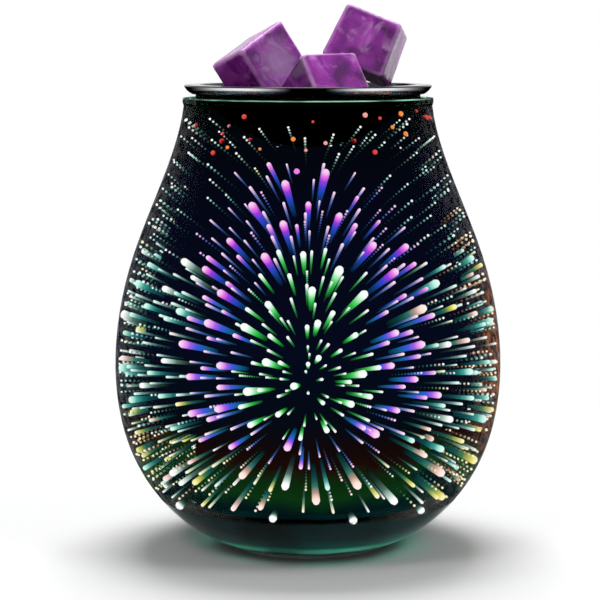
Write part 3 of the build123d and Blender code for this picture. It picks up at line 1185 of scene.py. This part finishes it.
class Palette(Enum):
    """Colours of a spark from its head to the end of its tail: place along it and hex colour."""

    GREEN = (
        (0.0, "#F4FFF8"),
        (0.1, "#DCFBE6"),
        (0.2, "#78E090"),
        (0.45, "#2EBC48"),
        (0.72, "#167A2C"),
        (1.0, "#020C05"),
    )
    PINK = (
        (0.0, "#F0A4EE"),
        (0.09, "#DC74E6"),
        (0.2, "#6E4CE4"),
        (0.36, "#2C5CDC"),
        (0.62, "#125C88"),
        (1.0, "#02101A"),
    )
    VIOLET = (
        (0.0, "#EE7CE6"),
        (0.09, "#D040DC"),
        (0.2, "#6A34D8"),
        (0.36, "#2A46CC"),
        (0.62, "#103A78"),
        (1.0, "#020814"),
    )
    TEAL = ((0.0, "#BDF4E6"), (0.08, "#5CC6B4"), (0.22, "#1A7C78"), (0.5, "#0B404A"), (1.0, "#01080A"))
    YELLOW = ((0.0, "#F4EC8A"), (0.1, "#DCCB4E"), (0.24, "#4A8A48"), (0.5, "#11504F"), (1.0, "#010A0C"))
    ROSE = ((0.0, "#FFE0D4"), (0.1, "#E2A090"), (0.24, "#3F8272"), (0.52, "#0B4644"), (1.0, "#010809"))
    WHITE = ((0.0, "#FFFFFF"), (0.12, "#B9D6CB"), (0.3, "#54746A"), (0.55, "#1E332D"), (1.0, "#040A09"))
    EMBER = ((0.0, "#FFE6BC"), (0.15, "#E8A050"), (0.4, "#9A4E18"), (0.7, "#4A2008"), (1.0, "#120602"))
    RED = ((0.0, "#D8382E"), (0.4, "#8C1A22"), (1.0, "#1A0408"))
    ORANGE = ((0.0, "#F28C34"), (0.4, "#A84A14"), (1.0, "#1C0A02"))
    BLUSH = ((0.0, "#F2A09A"), (0.4, "#A04450"), (1.0, "#16060A"))

    def along(self, step: np.ndarray) -> np.ndarray:
        """Colours at places along a spark.

        Args:
            step: places from 0, the head, to 1, the tail's end.

        Returns:
            Linear colours, one row of four values for each place.
        """
        places = [place for place, _ in self.value]
        colours = np.array([linear(code) for _, code in self.value])
        return np.column_stack([np.interp(step, places, colours[:, i]) for i in range(4)])


class Mix(Enum):
    """Palettes of a zone of the glass, each with the random share from which on it is used."""

    SIDES = ((0.0, Palette.TEAL), (0.6, Palette.WHITE), (0.75, Palette.YELLOW), (0.85, Palette.ROSE))
    LOW = ((0.0, Palette.YELLOW), (0.5, Palette.TEAL), (0.6, Palette.WHITE), (0.75, Palette.ROSE))
    NECK = ((0.0, Palette.RED), (0.5, Palette.BLUSH), (0.8, Palette.ORANGE))

    def picked(self, share: np.ndarray) -> np.ndarray:
        """Chooses palettes by random shares.

        Args:
            share: a random share from 0 to 1 for each spark.

        Returns:
            The palette of each.
        """
        chosen = np.full(len(share), self.value[0][1], object)
        for start, palette in self.value[1:]:
            chosen[share > start] = palette
        return chosen


@dataclass(frozen=True)
class Zones:
    """Where on the glass each colour lies: a burst at front and back, and what surrounds them.

    Attributes:
        burst_count: number of bursts around the glass.
        level_z: height of a burst's middle.
        half_w, above, below: how far a burst reaches aside, up and down.
        ragged: how far chance shifts a spark across the edge of a burst, as a share of that reach.
        green_within, pink_within: shares of the reach within which sparks are green, or pink and violet.
        violet_over: distance over a burst's middle above which pink turns to violet.
        foot_z, low_z, neck_z: heights that end the row of drops and the low zone and start the neck.
        beside_x: distance aside from which on most dots of the neck are white.
        neck_red: share of them that stay red.
        ember_x, low_ember_x: distance to the right, and aside in the low zone, from which on beads are amber.
        ember_from, low_ember_from: random shares from which on they are.
        second_draw, third_draw: factors whose remainders make further random shares of the first one.
    """

    burst_count: int = 2
    level_z: float = 62.0 * MM
    half_w: float = 40.0 * MM
    above: float = 72.0 * MM
    below: float = 29.0 * MM
    ragged: float = 0.2
    green_within: float = 0.6
    pink_within: float = 1.0
    violet_over: float = 26.0 * MM
    foot_z: float = 18.5 * MM
    low_z: float = 42.0 * MM
    neck_z: float = 130.0 * MM
    beside_x: float = 32.0 * MM
    neck_red: float = 0.2
    ember_x: float = 47.0 * MM
    low_ember_x: float = 32.9 * MM
    ember_from: float = 0.3
    low_ember_from: float = 0.45
    second_draw: int = 7
    third_draw: int = 13

    def palettes(self, root: np.ndarray, pick: np.ndarray, beaded: bool) -> np.ndarray:
        """Chooses each spark's colours by where its root lies.

        Args:
            root: places of the roots, one row each.
            pick: a random share from 0 to 1 for each.
            beaded: True for rows of beads.

        Returns:
            The chosen palettes.
        """
        x, y, z = root.T
        sector = 2 * math.pi / self.burst_count
        turn = (np.arctan2(x, -y) + sector / 2) % sector - sector / 2
        across = np.hypot(x, y) * np.sin(turn)
        over = z - self.level_z
        away = np.hypot(across / self.half_w, over / np.where(over > 0, self.above, self.below))
        away = away + self.ragged * (pick - 0.5)
        own = pick * self.second_draw % 1
        low = z < self.low_z
        neck = z > self.neck_z
        burst = away < self.pink_within
        chosen = np.where(low, Mix.LOW.picked(own), Mix.SIDES.picked(own))
        chosen[burst] = Palette.PINK
        chosen[burst & (over > self.violet_over)] = Palette.VIOLET
        chosen[away < self.green_within] = Palette.GREEN
        chosen[z < self.foot_z] = Palette.WHITE
        chosen = np.where(neck, Mix.NECK.picked(own), chosen)
        plain = neck & (np.abs(across) > self.beside_x) & (own > self.neck_red)
        if beaded:
            right = (x > self.ember_x) & (own > self.ember_from)
            low_sides = low & (np.abs(x) > self.low_ember_x) & (own > self.low_ember_from)
            chosen[right | low_sides] = Palette.EMBER
            plain = neck
        chosen[plain] = Palette.WHITE
        return chosen

    def thinned(self, root: np.ndarray, pick: np.ndarray, kept: float) -> np.ndarray:
        """Finds the sparks that the low zone has too many of.

        Args:
            root: places of the roots, one row each.
            pick: a random share from 0 to 1 for each.
            kept: share of the sparks that stay.

        Returns:
            True for each such spark.
        """
        low = (root[:, 2] < self.low_z) & (root[:, 2] > self.foot_z)
        return low & (pick * self.third_draw % 1 > kept)


class SparkForm(Enum):
    """How a spark and its tail are drawn."""

    SMOOTH = "one tapered body"
    BEADED = "a row of separate beads"


@dataclass
class Sparks:
    """Points of light behind the film's pinholes, each with the tail that the film's mirrors repeat inwards.

    Attributes:
        name: name of the piece.
        form: how a spark is drawn.
        gap: least distance between two pinholes.
        seed: start of the random draws.
        radius, length: head and tail of the largest spark.
        least: size of the smallest spark as a share of the largest.
        whiteness: share of white in all colours.
        core: share of white at the tip of a head.
        side_share, front_share: shares of the pinholes used at the sides, and at front and back.
        side_until, front_from: how far towards the front the sides end and the front starts, from 0 to 1.
        side_length: length of a tail at the sides as a share of one at the front.
        beads: number of beads in a row.
        sides, tail_rings: steps around a smooth spark and along its tail.
        tail_end: width of a tail's end as a share of the head.
        tail_tip: length of the closing tip, in steps of the tail.
        apart: least distance to the roots of earlier sets.
        low_z, top_z: heights between which the pinholes lie.
        low_share: share of the sparks that stay in the low zone.
        side_top_z: height above which no spark in the colours of the sides stays.
        packing: tries for each pinhole that fits.
        sink, sink_rise: slope of the tails at the bursts' level, and how it grows with height.
        lean: how much further aside the tails at the front lead.
        zones: where each colour lies.
    """

    name: str
    form: SparkForm
    gap: float
    seed: int
    radius: float
    length: float
    least: float = 0.7
    whiteness: float = 0.0
    core: float = 0.6
    side_share: float = 0.5
    front_share: float = 1.0
    side_until: float = 0.3
    front_from: float = 0.8
    side_length: float = 0.6
    beads: int = 12
    sides: int = 8
    tail_rings: int = 6
    tail_end: float = 0.5
    tail_tip: float = 0.3
    apart: float = 3.4 * MM
    low_z: float = 20.0 * MM
    top_z: float = 129.0 * MM
    low_share: float = 0.55
    side_top_z: float = 98.0 * MM
    packing: float = 4.0
    sink: float = 0.117
    sink_rise: float = 6.5
    lean: float = 0.6
    zones: Zones = Zones()

    def outline(self) -> list[tuple[float, float]]:
        """Draws a smooth spark from the tip of its head to the end of its tail.

        Returns:
            Radius and height of its points.
        """
        round_by = math.radians(45)
        points = [
            (0.0, -self.radius),
            (self.radius * math.cos(round_by), -self.radius * math.sin(round_by)),
            (self.radius, 0.0),
        ]
        for i in range(1, self.tail_rings + 1):
            share = i / (self.tail_rings + self.tail_tip)
            points.append((self.radius * self.narrowed(share), self.length * share))
        return points + [(0.0, self.length)]

    def narrowed(self, share: float) -> float:
        """Width of the tail at a share of its length, 1 at the head."""
        return 1 + (self.tail_end - 1) * share

    def body(self) -> Mesh:
        """Makes one spark, its head at the origin and its tail along +Z.

        Returns:
            A mesh whose attribute "step" says how far along the tail each point is.
        """
        if self.form is SparkForm.SMOOTH:
            mesh = turned_mesh(self.outline(), self.sides, inwards=False)
            steps = [vert.co.z / self.length for vert in mesh.vertices]
        else:
            shape = bmesh.new()
            steps = []
            for i in range(self.beads):
                share = i / self.beads
                radius = self.radius * self.narrowed(share)
                ball = bmesh.ops.create_icosphere(shape, subdivisions=1, radius=radius)["verts"]
                bmesh.ops.translate(shape, verts=ball, vec=(0, 0, self.length * share))
                steps += [share] * len(ball)
            mesh = mesh_of(shape, "beads")
        mesh.attributes.new("step", "FLOAT", "POINT").data.foreach_set("value", steps)
        return mesh

    def sizes(self, spark: Object, light: Material) -> dict[str, Any]:
        """Inputs of the node tree by name.

        Args:
            spark: object that holds one spark.
            light: material of the sparks.

        Returns:
            The values, in the order of the tree's inputs.
        """
        return {
            "Pinhole gap": self.gap,
            "Pinhole density": self.packing / self.gap**2,
            "Side share": self.side_share,
            "Front share": self.front_share,
            "Side length": self.side_length,
            "Least size": self.least,
            "Level height": self.zones.level_z,
            "Sink": self.sink,
            "Sink rise": self.sink_rise,
            "Lean": self.lean,
            "Seed": self.seed,
            "Spark": spark,
            "Material": light,
        }

    def tree(self, sizes: dict[str, Any]) -> NodeTree:
        """Makes the node tree that sets a spark behind each pinhole.

        Args:
            sizes: the tree's inputs by name.

        Returns:
            A tree with those inputs.
        """
        kinds = {float: "Float", int: "Int", Object: "Object", Material: "Material"}
        tree = bpy.data.node_groups.new(f"{self.name} tree", "GeometryNodeTree")
        tree.interface.new_socket("Geometry", in_out="INPUT", socket_type="NodeSocketGeometry")
        for label, value in sizes.items():
            tree.interface.new_socket(label, in_out="INPUT", socket_type=f"NodeSocket{kinds[type(value)]}")
        tree.interface.new_socket("Geometry", in_out="OUTPUT", socket_type="NodeSocketGeometry")
        given = add_node(tree, "NodeGroupInput").outputs
        front = self.frontness(tree)
        points, turn = self.roots(tree, given, front)
        size = add_node(
            tree,
            "FunctionNodeRandomValue",
            {2: given["Least size"], 3: 1.0, "Seed": given["Seed"]},
            data_type="FLOAT",
        ).outputs[1]
        drawn = add_node(
            tree, "ShaderNodeMapRange", {"Value": front, "To Min": given["Side length"], "To Max": 1.0}
        ).outputs["Result"]
        length = add_node(tree, "ShaderNodeMath", {0: size, 1: drawn}, operation="MULTIPLY").outputs[0]
        scale = add_node(tree, "ShaderNodeCombineXYZ", {0: size, 1: size, 2: length}).outputs[0]
        spark = add_node(tree, "GeometryNodeObjectInfo", {"Object": given["Spark"]}).outputs["Geometry"]
        placed = add_node(
            tree,
            "GeometryNodeInstanceOnPoints",
            {"Points": points, "Instance": spark, "Rotation": turn, "Scale": scale},
        ).outputs[0]
        real = add_node(tree, "GeometryNodeRealizeInstances", {0: placed}).outputs[0]
        made = add_node(tree, "GeometryNodeSetMaterial", {"Geometry": real, "Material": given["Material"]})
        add_node(tree, "NodeGroupOutput", {0: made.outputs[0]})
        return tree

    def frontness(self, tree: NodeTree) -> NodeSocket:
        """Adds the nodes that tell the front and back of the glass, 1, from its sides, 0.

        Args:
            tree: the node tree.

        Returns:
            The socket of that share at each point.
        """
        place = add_node(tree, "GeometryNodeInputPosition").outputs[0]
        axes = add_node(tree, "ShaderNodeSeparateXYZ", {0: place}).outputs
        flat = add_node(tree, "ShaderNodeCombineXYZ", {0: axes["X"], 1: axes["Y"]}).outputs[0]
        away = add_node(tree, "ShaderNodeVectorMath", {0: flat}, operation="LENGTH").outputs["Value"]
        deep = add_node(tree, "ShaderNodeMath", {0: axes["Y"]}, operation="ABSOLUTE").outputs[0]
        return add_node(tree, "ShaderNodeMath", {0: deep, 1: away}, operation="DIVIDE").outputs[0]

    def roots(self, tree: NodeTree, given: Any, front: NodeSocket) -> tuple[NodeSocket, NodeSocket]:
        """Adds the nodes that scatter the pinholes and turn each spark inwards.

        Args:
            tree: the node tree.
            given: the group's inputs.
            front: share that tells front and back from the sides.

        Returns:
            Sockets of the points, which note their place and a random share, and of their turn.
        """
        place = add_node(tree, "GeometryNodeInputPosition").outputs[0]
        axes = add_node(tree, "ShaderNodeSeparateXYZ", {0: place}).outputs
        thinned = add_node(
            tree,
            "ShaderNodeMapRange",
            {
                "Value": front,
                "From Min": self.side_until,
                "From Max": self.front_from,
                "To Min": given["Side share"],
                "To Max": given["Front share"],
            },
        ).outputs["Result"]
        spread = add_node(
            tree,
            "GeometryNodeDistributePointsOnFaces",
            {
                "Mesh": given["Geometry"],
                "Distance Min": given["Pinhole gap"],
                "Density Max": given["Pinhole density"],
                "Density Factor": thinned,
                "Seed": given["Seed"],
            },
            distribute_method="POISSON",
        )
        over = add_node(
            tree, "ShaderNodeMath", {0: axes["Z"], 1: given["Level height"]}, operation="SUBTRACT"
        ).outputs[0]
        sink = add_node(
            tree,
            "ShaderNodeMath",
            {0: over, 1: given["Sink rise"], 2: given["Sink"]},
            operation="MULTIPLY_ADD",
        ).outputs[0]
        down = add_node(tree, "ShaderNodeMath", {0: sink, 1: -1.0}, operation="MULTIPLY").outputs[0]
        drop = add_node(tree, "ShaderNodeCombineXYZ", {2: down}).outputs[0]
        aside = add_node(
            tree, "ShaderNodeMath", {0: front, 1: given["Lean"], 2: 1.0}, operation="MULTIPLY_ADD"
        ).outputs[0]
        widened = add_node(tree, "ShaderNodeCombineXYZ", {0: aside, 1: 1.0, 2: 1.0}).outputs[0]
        ahead = add_node(
            tree,
            "ShaderNodeVectorMath",
            {0: spread.outputs["Normal"], 1: widened, 2: drop},
            operation="MULTIPLY_ADD",
        ).outputs[0]
        turn = add_node(tree, "FunctionNodeAlignRotationToVector", {"Vector": ahead}, axis="Z").outputs[0]
        pick = add_node(
            tree, "FunctionNodeRandomValue", {2: 0.0, 3: 1.0, "Seed": self.seed + 1}, data_type="FLOAT"
        ).outputs[1]
        points = spread.outputs["Points"]
        for label, kind, value in (("root", "FLOAT_VECTOR", place), ("pick", "FLOAT", pick)):
            points = add_node(
                tree,
                "GeometryNodeStoreNamedAttribute",
                {"Geometry": points, "Name": label, "Value": value},
                data_type=kind,
                domain="POINT",
            ).outputs[0]
        return points, turn

    def crowded(self, root: np.ndarray, taken: np.ndarray) -> np.ndarray:
        """Finds the sparks whose heads would lie on those of earlier sets.

        Args:
            root: places of the roots, one row for each point of the mesh.
            taken: roots of the earlier sets.

        Returns:
            True at each point of such a spark.
        """
        places, spark = np.unique(root, axis=0, return_inverse=True)
        gaps = np.linalg.norm(places[:, None] - taken[None], axis=2)
        near = gaps.min(axis=1, initial=math.inf) < self.apart
        return near[spark.ravel()]

    def paint(self, mesh: Mesh, taken: np.ndarray) -> np.ndarray:
        """Colours the sparks and takes out the spare ones, with what the tree noted.

        Args:
            mesh: the finished mesh, which carries root, pick and step.
            taken: roots of the earlier sets of sparks.

        Returns:
            Those roots and the roots of the sparks that are left.
        """
        root = take_values(mesh, "root", 3)
        pick = take_values(mesh, "pick", 1)[:, 0]
        step = take_values(mesh, "step", 1)[:, 0]
        chosen = self.zones.palettes(root, pick, self.form is SparkForm.BEADED)
        colours = np.zeros((len(step), 4), np.float32)
        for palette in Palette:
            at = chosen == palette
            colours[at] = palette.along(step[at])
        colours += (Palette.WHITE.along(step) - colours) * self.whiteness
        tip = np.clip(-step * self.length / self.radius, 0.0, 1.0)[:, None]
        colours += (1 - colours) * tip * self.core
        glow = mesh.attributes.new("glow", "FLOAT_COLOR", "POINT")
        glow.data.foreach_set("color", colours.ravel())
        side_colours = [palette for _, palette in Mix.SIDES.value]
        aside = np.array([palette in side_colours for palette in chosen])
        spare = self.zones.thinned(root, pick, self.low_share) | self.crowded(root, taken)
        spare |= aside & (root[:, 2] > self.side_top_z)
        drop_points(mesh, spare)
        return np.concatenate([taken, np.unique(root[~spare], axis=0)])

    def build(self, pinholes: Mesh, light: Material, taken: np.ndarray) -> np.ndarray:
        """Makes the sparks behind the film's pinholes.

        Args:
            pinholes: the surface they lie on, whose faces look inwards.
            light: material of the sparks.
            taken: roots of the earlier sets of sparks.

        Returns:
            Those roots and the roots of these sparks.
        """
        spark = new_object("spark", self.body(), light)
        carrier = new_object("pinholes", pinholes, light)
        sizes = self.sizes(spark, light)
        modifier = carrier.modifiers.new("sparks", "NODES")
        modifier.node_group = self.tree(sizes)
        for item in modifier.node_group.interface.items_tree:
            if item.name in sizes:
                modifier[item.identifier] = sizes[item.name]
        mesh = plain_mesh(carrier)
        bpy.data.objects.remove(spark)
        taken = self.paint(mesh, taken)
        mesh.shade_smooth()
        film_piece(self.name, mesh, light)
        return taken


def spark_sets() -> list[Sparks]:
    """Lists the sets of sparks, large ones first, because later sets keep clear of earlier ones.

    Returns:
        The sets in the order in which they are built.
    """
    smooth = SparkForm.SMOOTH
    beaded = SparkForm.BEADED
    return [
        Sparks(
            "spark_comets", smooth, gap=9.5 * MM, seed=4, radius=1.4 * MM, length=18.0 * MM,
            least=0.6, side_share=0.25,
        ),
        Sparks(
            "spark_darts", smooth, gap=8.0 * MM, seed=7, radius=0.85 * MM, length=17.0 * MM,
            least=0.65, whiteness=0.12, side_share=0.4,
        ),
        Sparks(
            "spark_threads", smooth, gap=5.4 * MM, seed=15, radius=0.5 * MM, length=16.0 * MM,
            least=0.6, whiteness=0.5, side_share=0.3, apart=2.1 * MM, sides=6, tail_rings=4,
        ),
        Sparks(
            "spark_pearls", beaded, gap=8.2 * MM, seed=17, radius=0.58 * MM, length=15.0 * MM,
            least=0.75, whiteness=0.35, side_share=0.6, front_share=0.0, side_length=1.0, beads=8,
            apart=3.0 * MM, low_share=1.0, side_top_z=118.0 * MM,
        ),
        Sparks(
            "spark_streaks", beaded, gap=5.4 * MM, seed=9, radius=0.46 * MM, length=16.0 * MM,
            least=0.8, whiteness=0.45, side_share=0.5, front_share=0.6, side_length=1.0, beads=10,
            apart=2.2 * MM, low_share=1.0, top_z=141.0 * MM, side_top_z=141.0 * MM,
        ),
        Sparks(
            "spark_dots", smooth, gap=5.2 * MM, seed=12, radius=1.0 * MM, length=1.0 * MM,
            least=0.45, core=0.06, low_z=126.0 * MM, top_z=144.0 * MM,
        ),
        Sparks(
            "spark_drops", smooth, gap=17.0 * MM, seed=21, radius=1.5 * MM, length=4.0 * MM,
            least=0.8, low_z=17.0 * MM, top_z=18.4 * MM,
        ),
    ]


@dataclass
class WaxMelts:
    """Three cast wax melts with soft, dented sides.

    Attributes:
        merge: distance within which the solid's loose corners are joined.
        voxel: size of the even mesh.
        smooth_rounds, smooth_share: how often and how far points move to the middle of their neighbours.
        dents: width and depth of the dents and of the finer pits.
        with_painted_reflection: the melt with the painted reflection.
        painted_reflection_towards, painted_reflection_off: direction and distance of the painted reflection
        from the middle of that melt.
    """

    merge: float = 0.001 * MM
    voxel: float = 0.5 * MM
    smooth_rounds: int = 1
    smooth_share: float = 0.5
    dents: tuple[tuple[float, float], ...] = ((7.0 * MM, 0.3 * MM), (2.2 * MM, 0.1 * MM))
    # Painted reflection: which melt gets the pale patch, and where on it.
    with_painted_reflection: str = "wax_cube_left"
    painted_reflection_towards: tuple[float, float, float] = (0.61, -0.75, 0.26)
    painted_reflection_off: float = 9.5 * MM

    def even_mesh(self, node: str) -> Mesh:
        """Makes an evenly meshed copy of a melt's CAD solid.

        Args:
            node: the melt's CAD node.

        Returns:
            The even mesh.
        """
        shape = bmesh.new()
        shape.from_mesh(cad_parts[node].data)
        bmesh.ops.remove_doubles(shape, verts=shape.verts, dist=self.merge)
        carrier = bpy.data.objects.new("carrier", mesh_of(shape, node))
        bpy.context.scene.collection.objects.link(carrier)
        remesh = carrier.modifiers.new("even", "REMESH")
        remesh.mode = "VOXEL"
        remesh.voxel_size = self.voxel
        return plain_mesh(carrier)

    def soften(self, node: str) -> Mesh:
        """Makes a melt's mesh: smoothed and dented, inside its CAD solid.

        Args:
            node: the melt's CAD node.

        Returns:
            The finished mesh.
        """
        mesh = self.even_mesh(node)
        shape = bmesh.new()
        shape.from_mesh(mesh)
        axes = {f"use_axis_{axis}": True for axis in "xyz"}
        for _ in range(self.smooth_rounds):
            bmesh.ops.smooth_vert(shape, verts=shape.verts, factor=self.smooth_share, **axes)
        shape.normal_update()
        for vert in shape.verts:
            hollows = [(0.5 + 0.5 * noise.noise(vert.co / width)) * depth for width, depth in self.dents]
            vert.co -= vert.normal * sum(hollows)
        shape.to_mesh(mesh)
        shape.free()
        mesh.shade_smooth()
        return mesh

    def build(self) -> None:
        """Replaces each CAD melt by its softened mesh."""
        # Painted reflection: middle of the pale patch, set off from the melt's middle.
        low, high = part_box(self.with_painted_reflection)
        painted_reflection_at = (low + high) / 2 + Vector(self.painted_reflection_towards) * self.painted_reflection_off
        wax = MarbledWax("Cast paraffin wax", tuple(painted_reflection_at)).material()
        for side in ("left", "front", "right"):
            node = f"wax_cube_{side}"
            melt = new_object(f"wax_melt_{side}", self.soften(node), wax)
            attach(melt, f"wax_{side}")
            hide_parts(node)
            LOG.info("%s: %d faces", melt.name, len(melt.data.polygons))


@dataclass
class Fittings:
    """Dish, seals, housing, wiring and lamp: CAD nodes that keep their shape and get their finish.

    Attributes:
        finishes: finish of one node of each kind.
        same: further nodes, and the node whose material each shares.
    """

    finishes: dict[str, Finish] = field(
        default_factory=lambda: {
            # Stove enamel on spun aluminium: black, mirror gloss with a faint orange peel.
            "wax_dish": DishEnamel("Gloss black enamel"),
            # Clear silicone rubber: milky where it is thick, dull gloss.
            "dish_gasket": Clear(
                "Clear silicone seal", "#2A3833",
                haze_low=0.02, haze_high=0.05, cloud_mm=2.0, roughness=0.35, specular=0.15,
            ),
            "foot_ring": Clear(
                "Clear silicone pad", "#5E7A74",
                haze_low=0.75, haze_high=0.9, cloud_mm=2.0, roughness=0.35,
            ),
            # Moulded ABS: black with a spark-eroded grain.
            "base_housing": Grained(
                "Moulded black ABS", "#0B0B0C", "#161617",
                grain_mm=0.6, rough_low=0.45, rough_high=0.6, relief_mm=0.02,
            ),
            # Moulded rubber: matt black, slightly cloudy.
            "cord_gland": Grained(
                "Moulded black rubber", "#0A0A0A", "#141313",
                grain_mm=0.8, rough_low=0.7, rough_high=0.85, relief_mm=0.01,
            ),
            # Zinc-plated steel: cool grey, fine turning lines around the piece.
            "housing_screws": Grained(
                "Zinc-plated steel", "#9A9DA0", "#B9BCBF",
                grain_mm=0.8, stretch=(1, 1, 6), rough_low=0.28, rough_high=0.42,
                metallic=1.0, relief_mm=0.006,
            ),
            # Turned brass: warm yellow with darker tarnish.
            "stem_nuts": Grained(
                "Turned brass", "#9C7430", "#C29A4C",
                grain_mm=1.2, stretch=(1, 1, 5), rough_low=0.25, rough_high=0.42,
                metallic=1.0, relief_mm=0.006,
            ),
            # Polished spun aluminium: bright with fine rings.
            "reflector_plate": Grained(
                "Polished aluminium", "#D2D3D5", "#E4E5E6",
                grain_mm=1.0, stretch=(1, 1, 8), rough_low=0.12, rough_high=0.22,
                metallic=1.0, relief_mm=0.004,
            ),
            # Fired steatite: cream white, matt, slightly speckled.
            "lamp_holder": Grained(
                "Fired steatite", "#D3CDBF", "#E2DDD1",
                grain_mm=0.7, rough_low=0.55, rough_high=0.7, relief_mm=0.02,
            ),
            # Moulded nylon: milky white, satin.
            "terminal_block": Grained(
                "Moulded white nylon", "#D2D0C8", "#E0DED8",
                grain_mm=1.5, rough_low=0.4, rough_high=0.5, relief_mm=0.01,
            ),
            # Silicone wire insulation: satin, mid brown and mid blue.
            "lead_live": Grained(
                "Brown wire insulation", "#46220F", "#5A2E16",
                grain_mm=1.0, rough_low=0.4, rough_high=0.5, relief_mm=0.006,
            ),
            "lead_neutral": Grained(
                "Blue wire insulation", "#133A86", "#1C4AA0",
                grain_mm=1.0, rough_low=0.4, rough_high=0.5, relief_mm=0.006,
            ),
            # Fused quartz: clear, faintly cloudy at the pinch.
            "bulb_capsule": Clear(
                "Fused quartz", "#EEF2F2",
                haze_low=0.1, haze_high=0.2, cloud_mm=4.0, roughness=0.05,
            ),
            # Drawn tungsten wire: grey with a warm cast.
            "bulb_filament": Grained(
                "Drawn tungsten", "#8C8076", "#A79A8C",
                grain_mm=0.4, rough_low=0.3, rough_high=0.45, metallic=1.0, relief_mm=0.004,
            ),
        }
    )
    same: dict[str, str] = field(
        default_factory=lambda: {
            "lower_gasket": "dish_gasket",
            "upper_gasket": "dish_gasket",
            "lamp_base": "base_housing",
            "thermal_fuse": "housing_screws",
            "stem_tube": "housing_screws",
            "holder_cup": "housing_screws",
            "holder_screws": "housing_screws",
            "bulb_pins": "housing_screws",
            "terminal_screws": "stem_nuts",
            "holder_contacts": "stem_nuts",
            "bulb_pinch": "bulb_capsule",
        }
    )

    def build(self) -> None:
        """Dresses the nodes."""
        made = {node: finish.material() for node, finish in self.finishes.items()}
        for node, material in made.items():
            dress(node, material)
        for node, like in self.same.items():
            dress(node, made[like])
        LOG.info("fittings: %d nodes dressed", len(made) + len(self.same))


def put_aimed(
    name: str,
    what: Light | Camera,
    at: tuple[float, float, float],
    to: tuple[float, float, float],
) -> Object:
    """Puts a lamp or a camera in the scene.

    Args:
        name: name of the object.
        what: the lamp or the camera.
        at: its place.
        to: the point that it looks at.

    Returns:
        The new object.
    """
    holder = bpy.data.objects.new(name, what)
    holder.location = at
    holder.rotation_euler = (Vector(to) - Vector(at)).to_track_quat("-Z", "Y").to_euler()
    bpy.context.scene.collection.objects.link(holder)
    return holder


@dataclass(frozen=True)
class Softbox:
    """Square soft lamp that points at the middle of the object.

    Attributes:
        name: name of the lamp.
        at: its place.
        size: length of its sides.
        watts: its power.
        aim: the point that it looks at.
    """

    name: str
    at: tuple[float, float, float]
    size: float
    watts: float
    aim: tuple[float, float, float] = (0.0, 0.0, 80.0 * MM)

    def build(self) -> None:
        """Puts the lamp in the scene."""
        light = bpy.data.lights.new(self.name, "AREA")
        light.size = self.size
        light.energy = self.watts
        put_aimed(self.name, light, self.at, self.aim)


@dataclass
class Studio:
    """White sweep, soft lamps and the camera of the photograph.

    Attributes:
        camera_at, camera_to: place of the camera and the point that it looks at.
        focal_px: focal length in pixels of the picture.
        sensor_mm: width of the camera's sensor.
        floor_half: half the side of the sweep.
        ambient: strength of the background's light on the object.
        lamps: the soft lamps.
    """

    camera_at: tuple[float, float, float] = (-0.0026, -0.750, 0.16912)
    camera_to: tuple[float, float, float] = (-0.0026, 0.0, 0.08117)
    focal_px: float = 2289.5
    sensor_mm: float = 36.0
    floor_half: float = 3.0
    ambient: float = 0.22
    lamps: tuple[Softbox, ...] = (
        Softbox("overhead", (0.0, 0.3, 1.1), size=0.6, watts=11.0),
        Softbox("left", (-0.55, -0.75, 0.95), size=0.4, watts=3.0),
        Softbox("right", (0.75, -0.55, 0.95), size=0.4, watts=3.0),
    )

    def camera(self) -> None:
        """Sets the camera."""
        lens = bpy.data.cameras.new("camera")
        lens.sensor_width = self.sensor_mm
        lens.lens = self.focal_px / IMAGE_PX * self.sensor_mm
        bpy.context.scene.camera = put_aimed("camera", lens, self.camera_at, self.camera_to)

    def world(self) -> None:
        """Sets a white background that lights the object only a little."""
        world = bpy.data.worlds.new("white room")
        world.use_nodes = True
        tree = world.node_tree
        tree.nodes.clear()
        strength = add_node(
            tree, "ShaderNodeMapRange", {"Value": seen_rays(tree), "To Min": self.ambient, "To Max": 1.0}
        ).outputs["Result"]
        back = add_node(tree, "ShaderNodeBackground", {"Color": WHITE, "Strength": strength})
        add_node(tree, "ShaderNodeOutputWorld", {"Surface": back.outputs[0]})
        bpy.context.scene.world = world

    def build(self) -> None:
        """Sets up floor, lamps, background and camera."""
        shape = bmesh.new()
        bmesh.ops.create_grid(shape, x_segments=1, y_segments=1, size=self.floor_half)
        sweep = StudioFloor("White paper sweep").material()
        new_object("floor", mesh_of(shape, "floor"), sweep)
        for lamp in self.lamps:
            lamp.build()
        self.world()
        self.camera()
        bpy.context.scene.view_settings.view_transform = "Standard"


def main() -> None:
    """Builds the looks in order."""
    logging.basicConfig(level=logging.INFO, format="%(message)s")
    Fittings().build()
    shade = GlassShade()
    shade.build()
    light = SparkLight("Light in the film").material()
    light.cycles.emission_sampling = "NONE"
    taken = np.empty((0, 3))
    for sparks in spark_sets():
        taken = sparks.build(shade.pinholes(sparks.low_z, sparks.top_z), light, taken)
    WaxMelts().build()
    Studio().build()


if __name__ == "__main__":
    main()
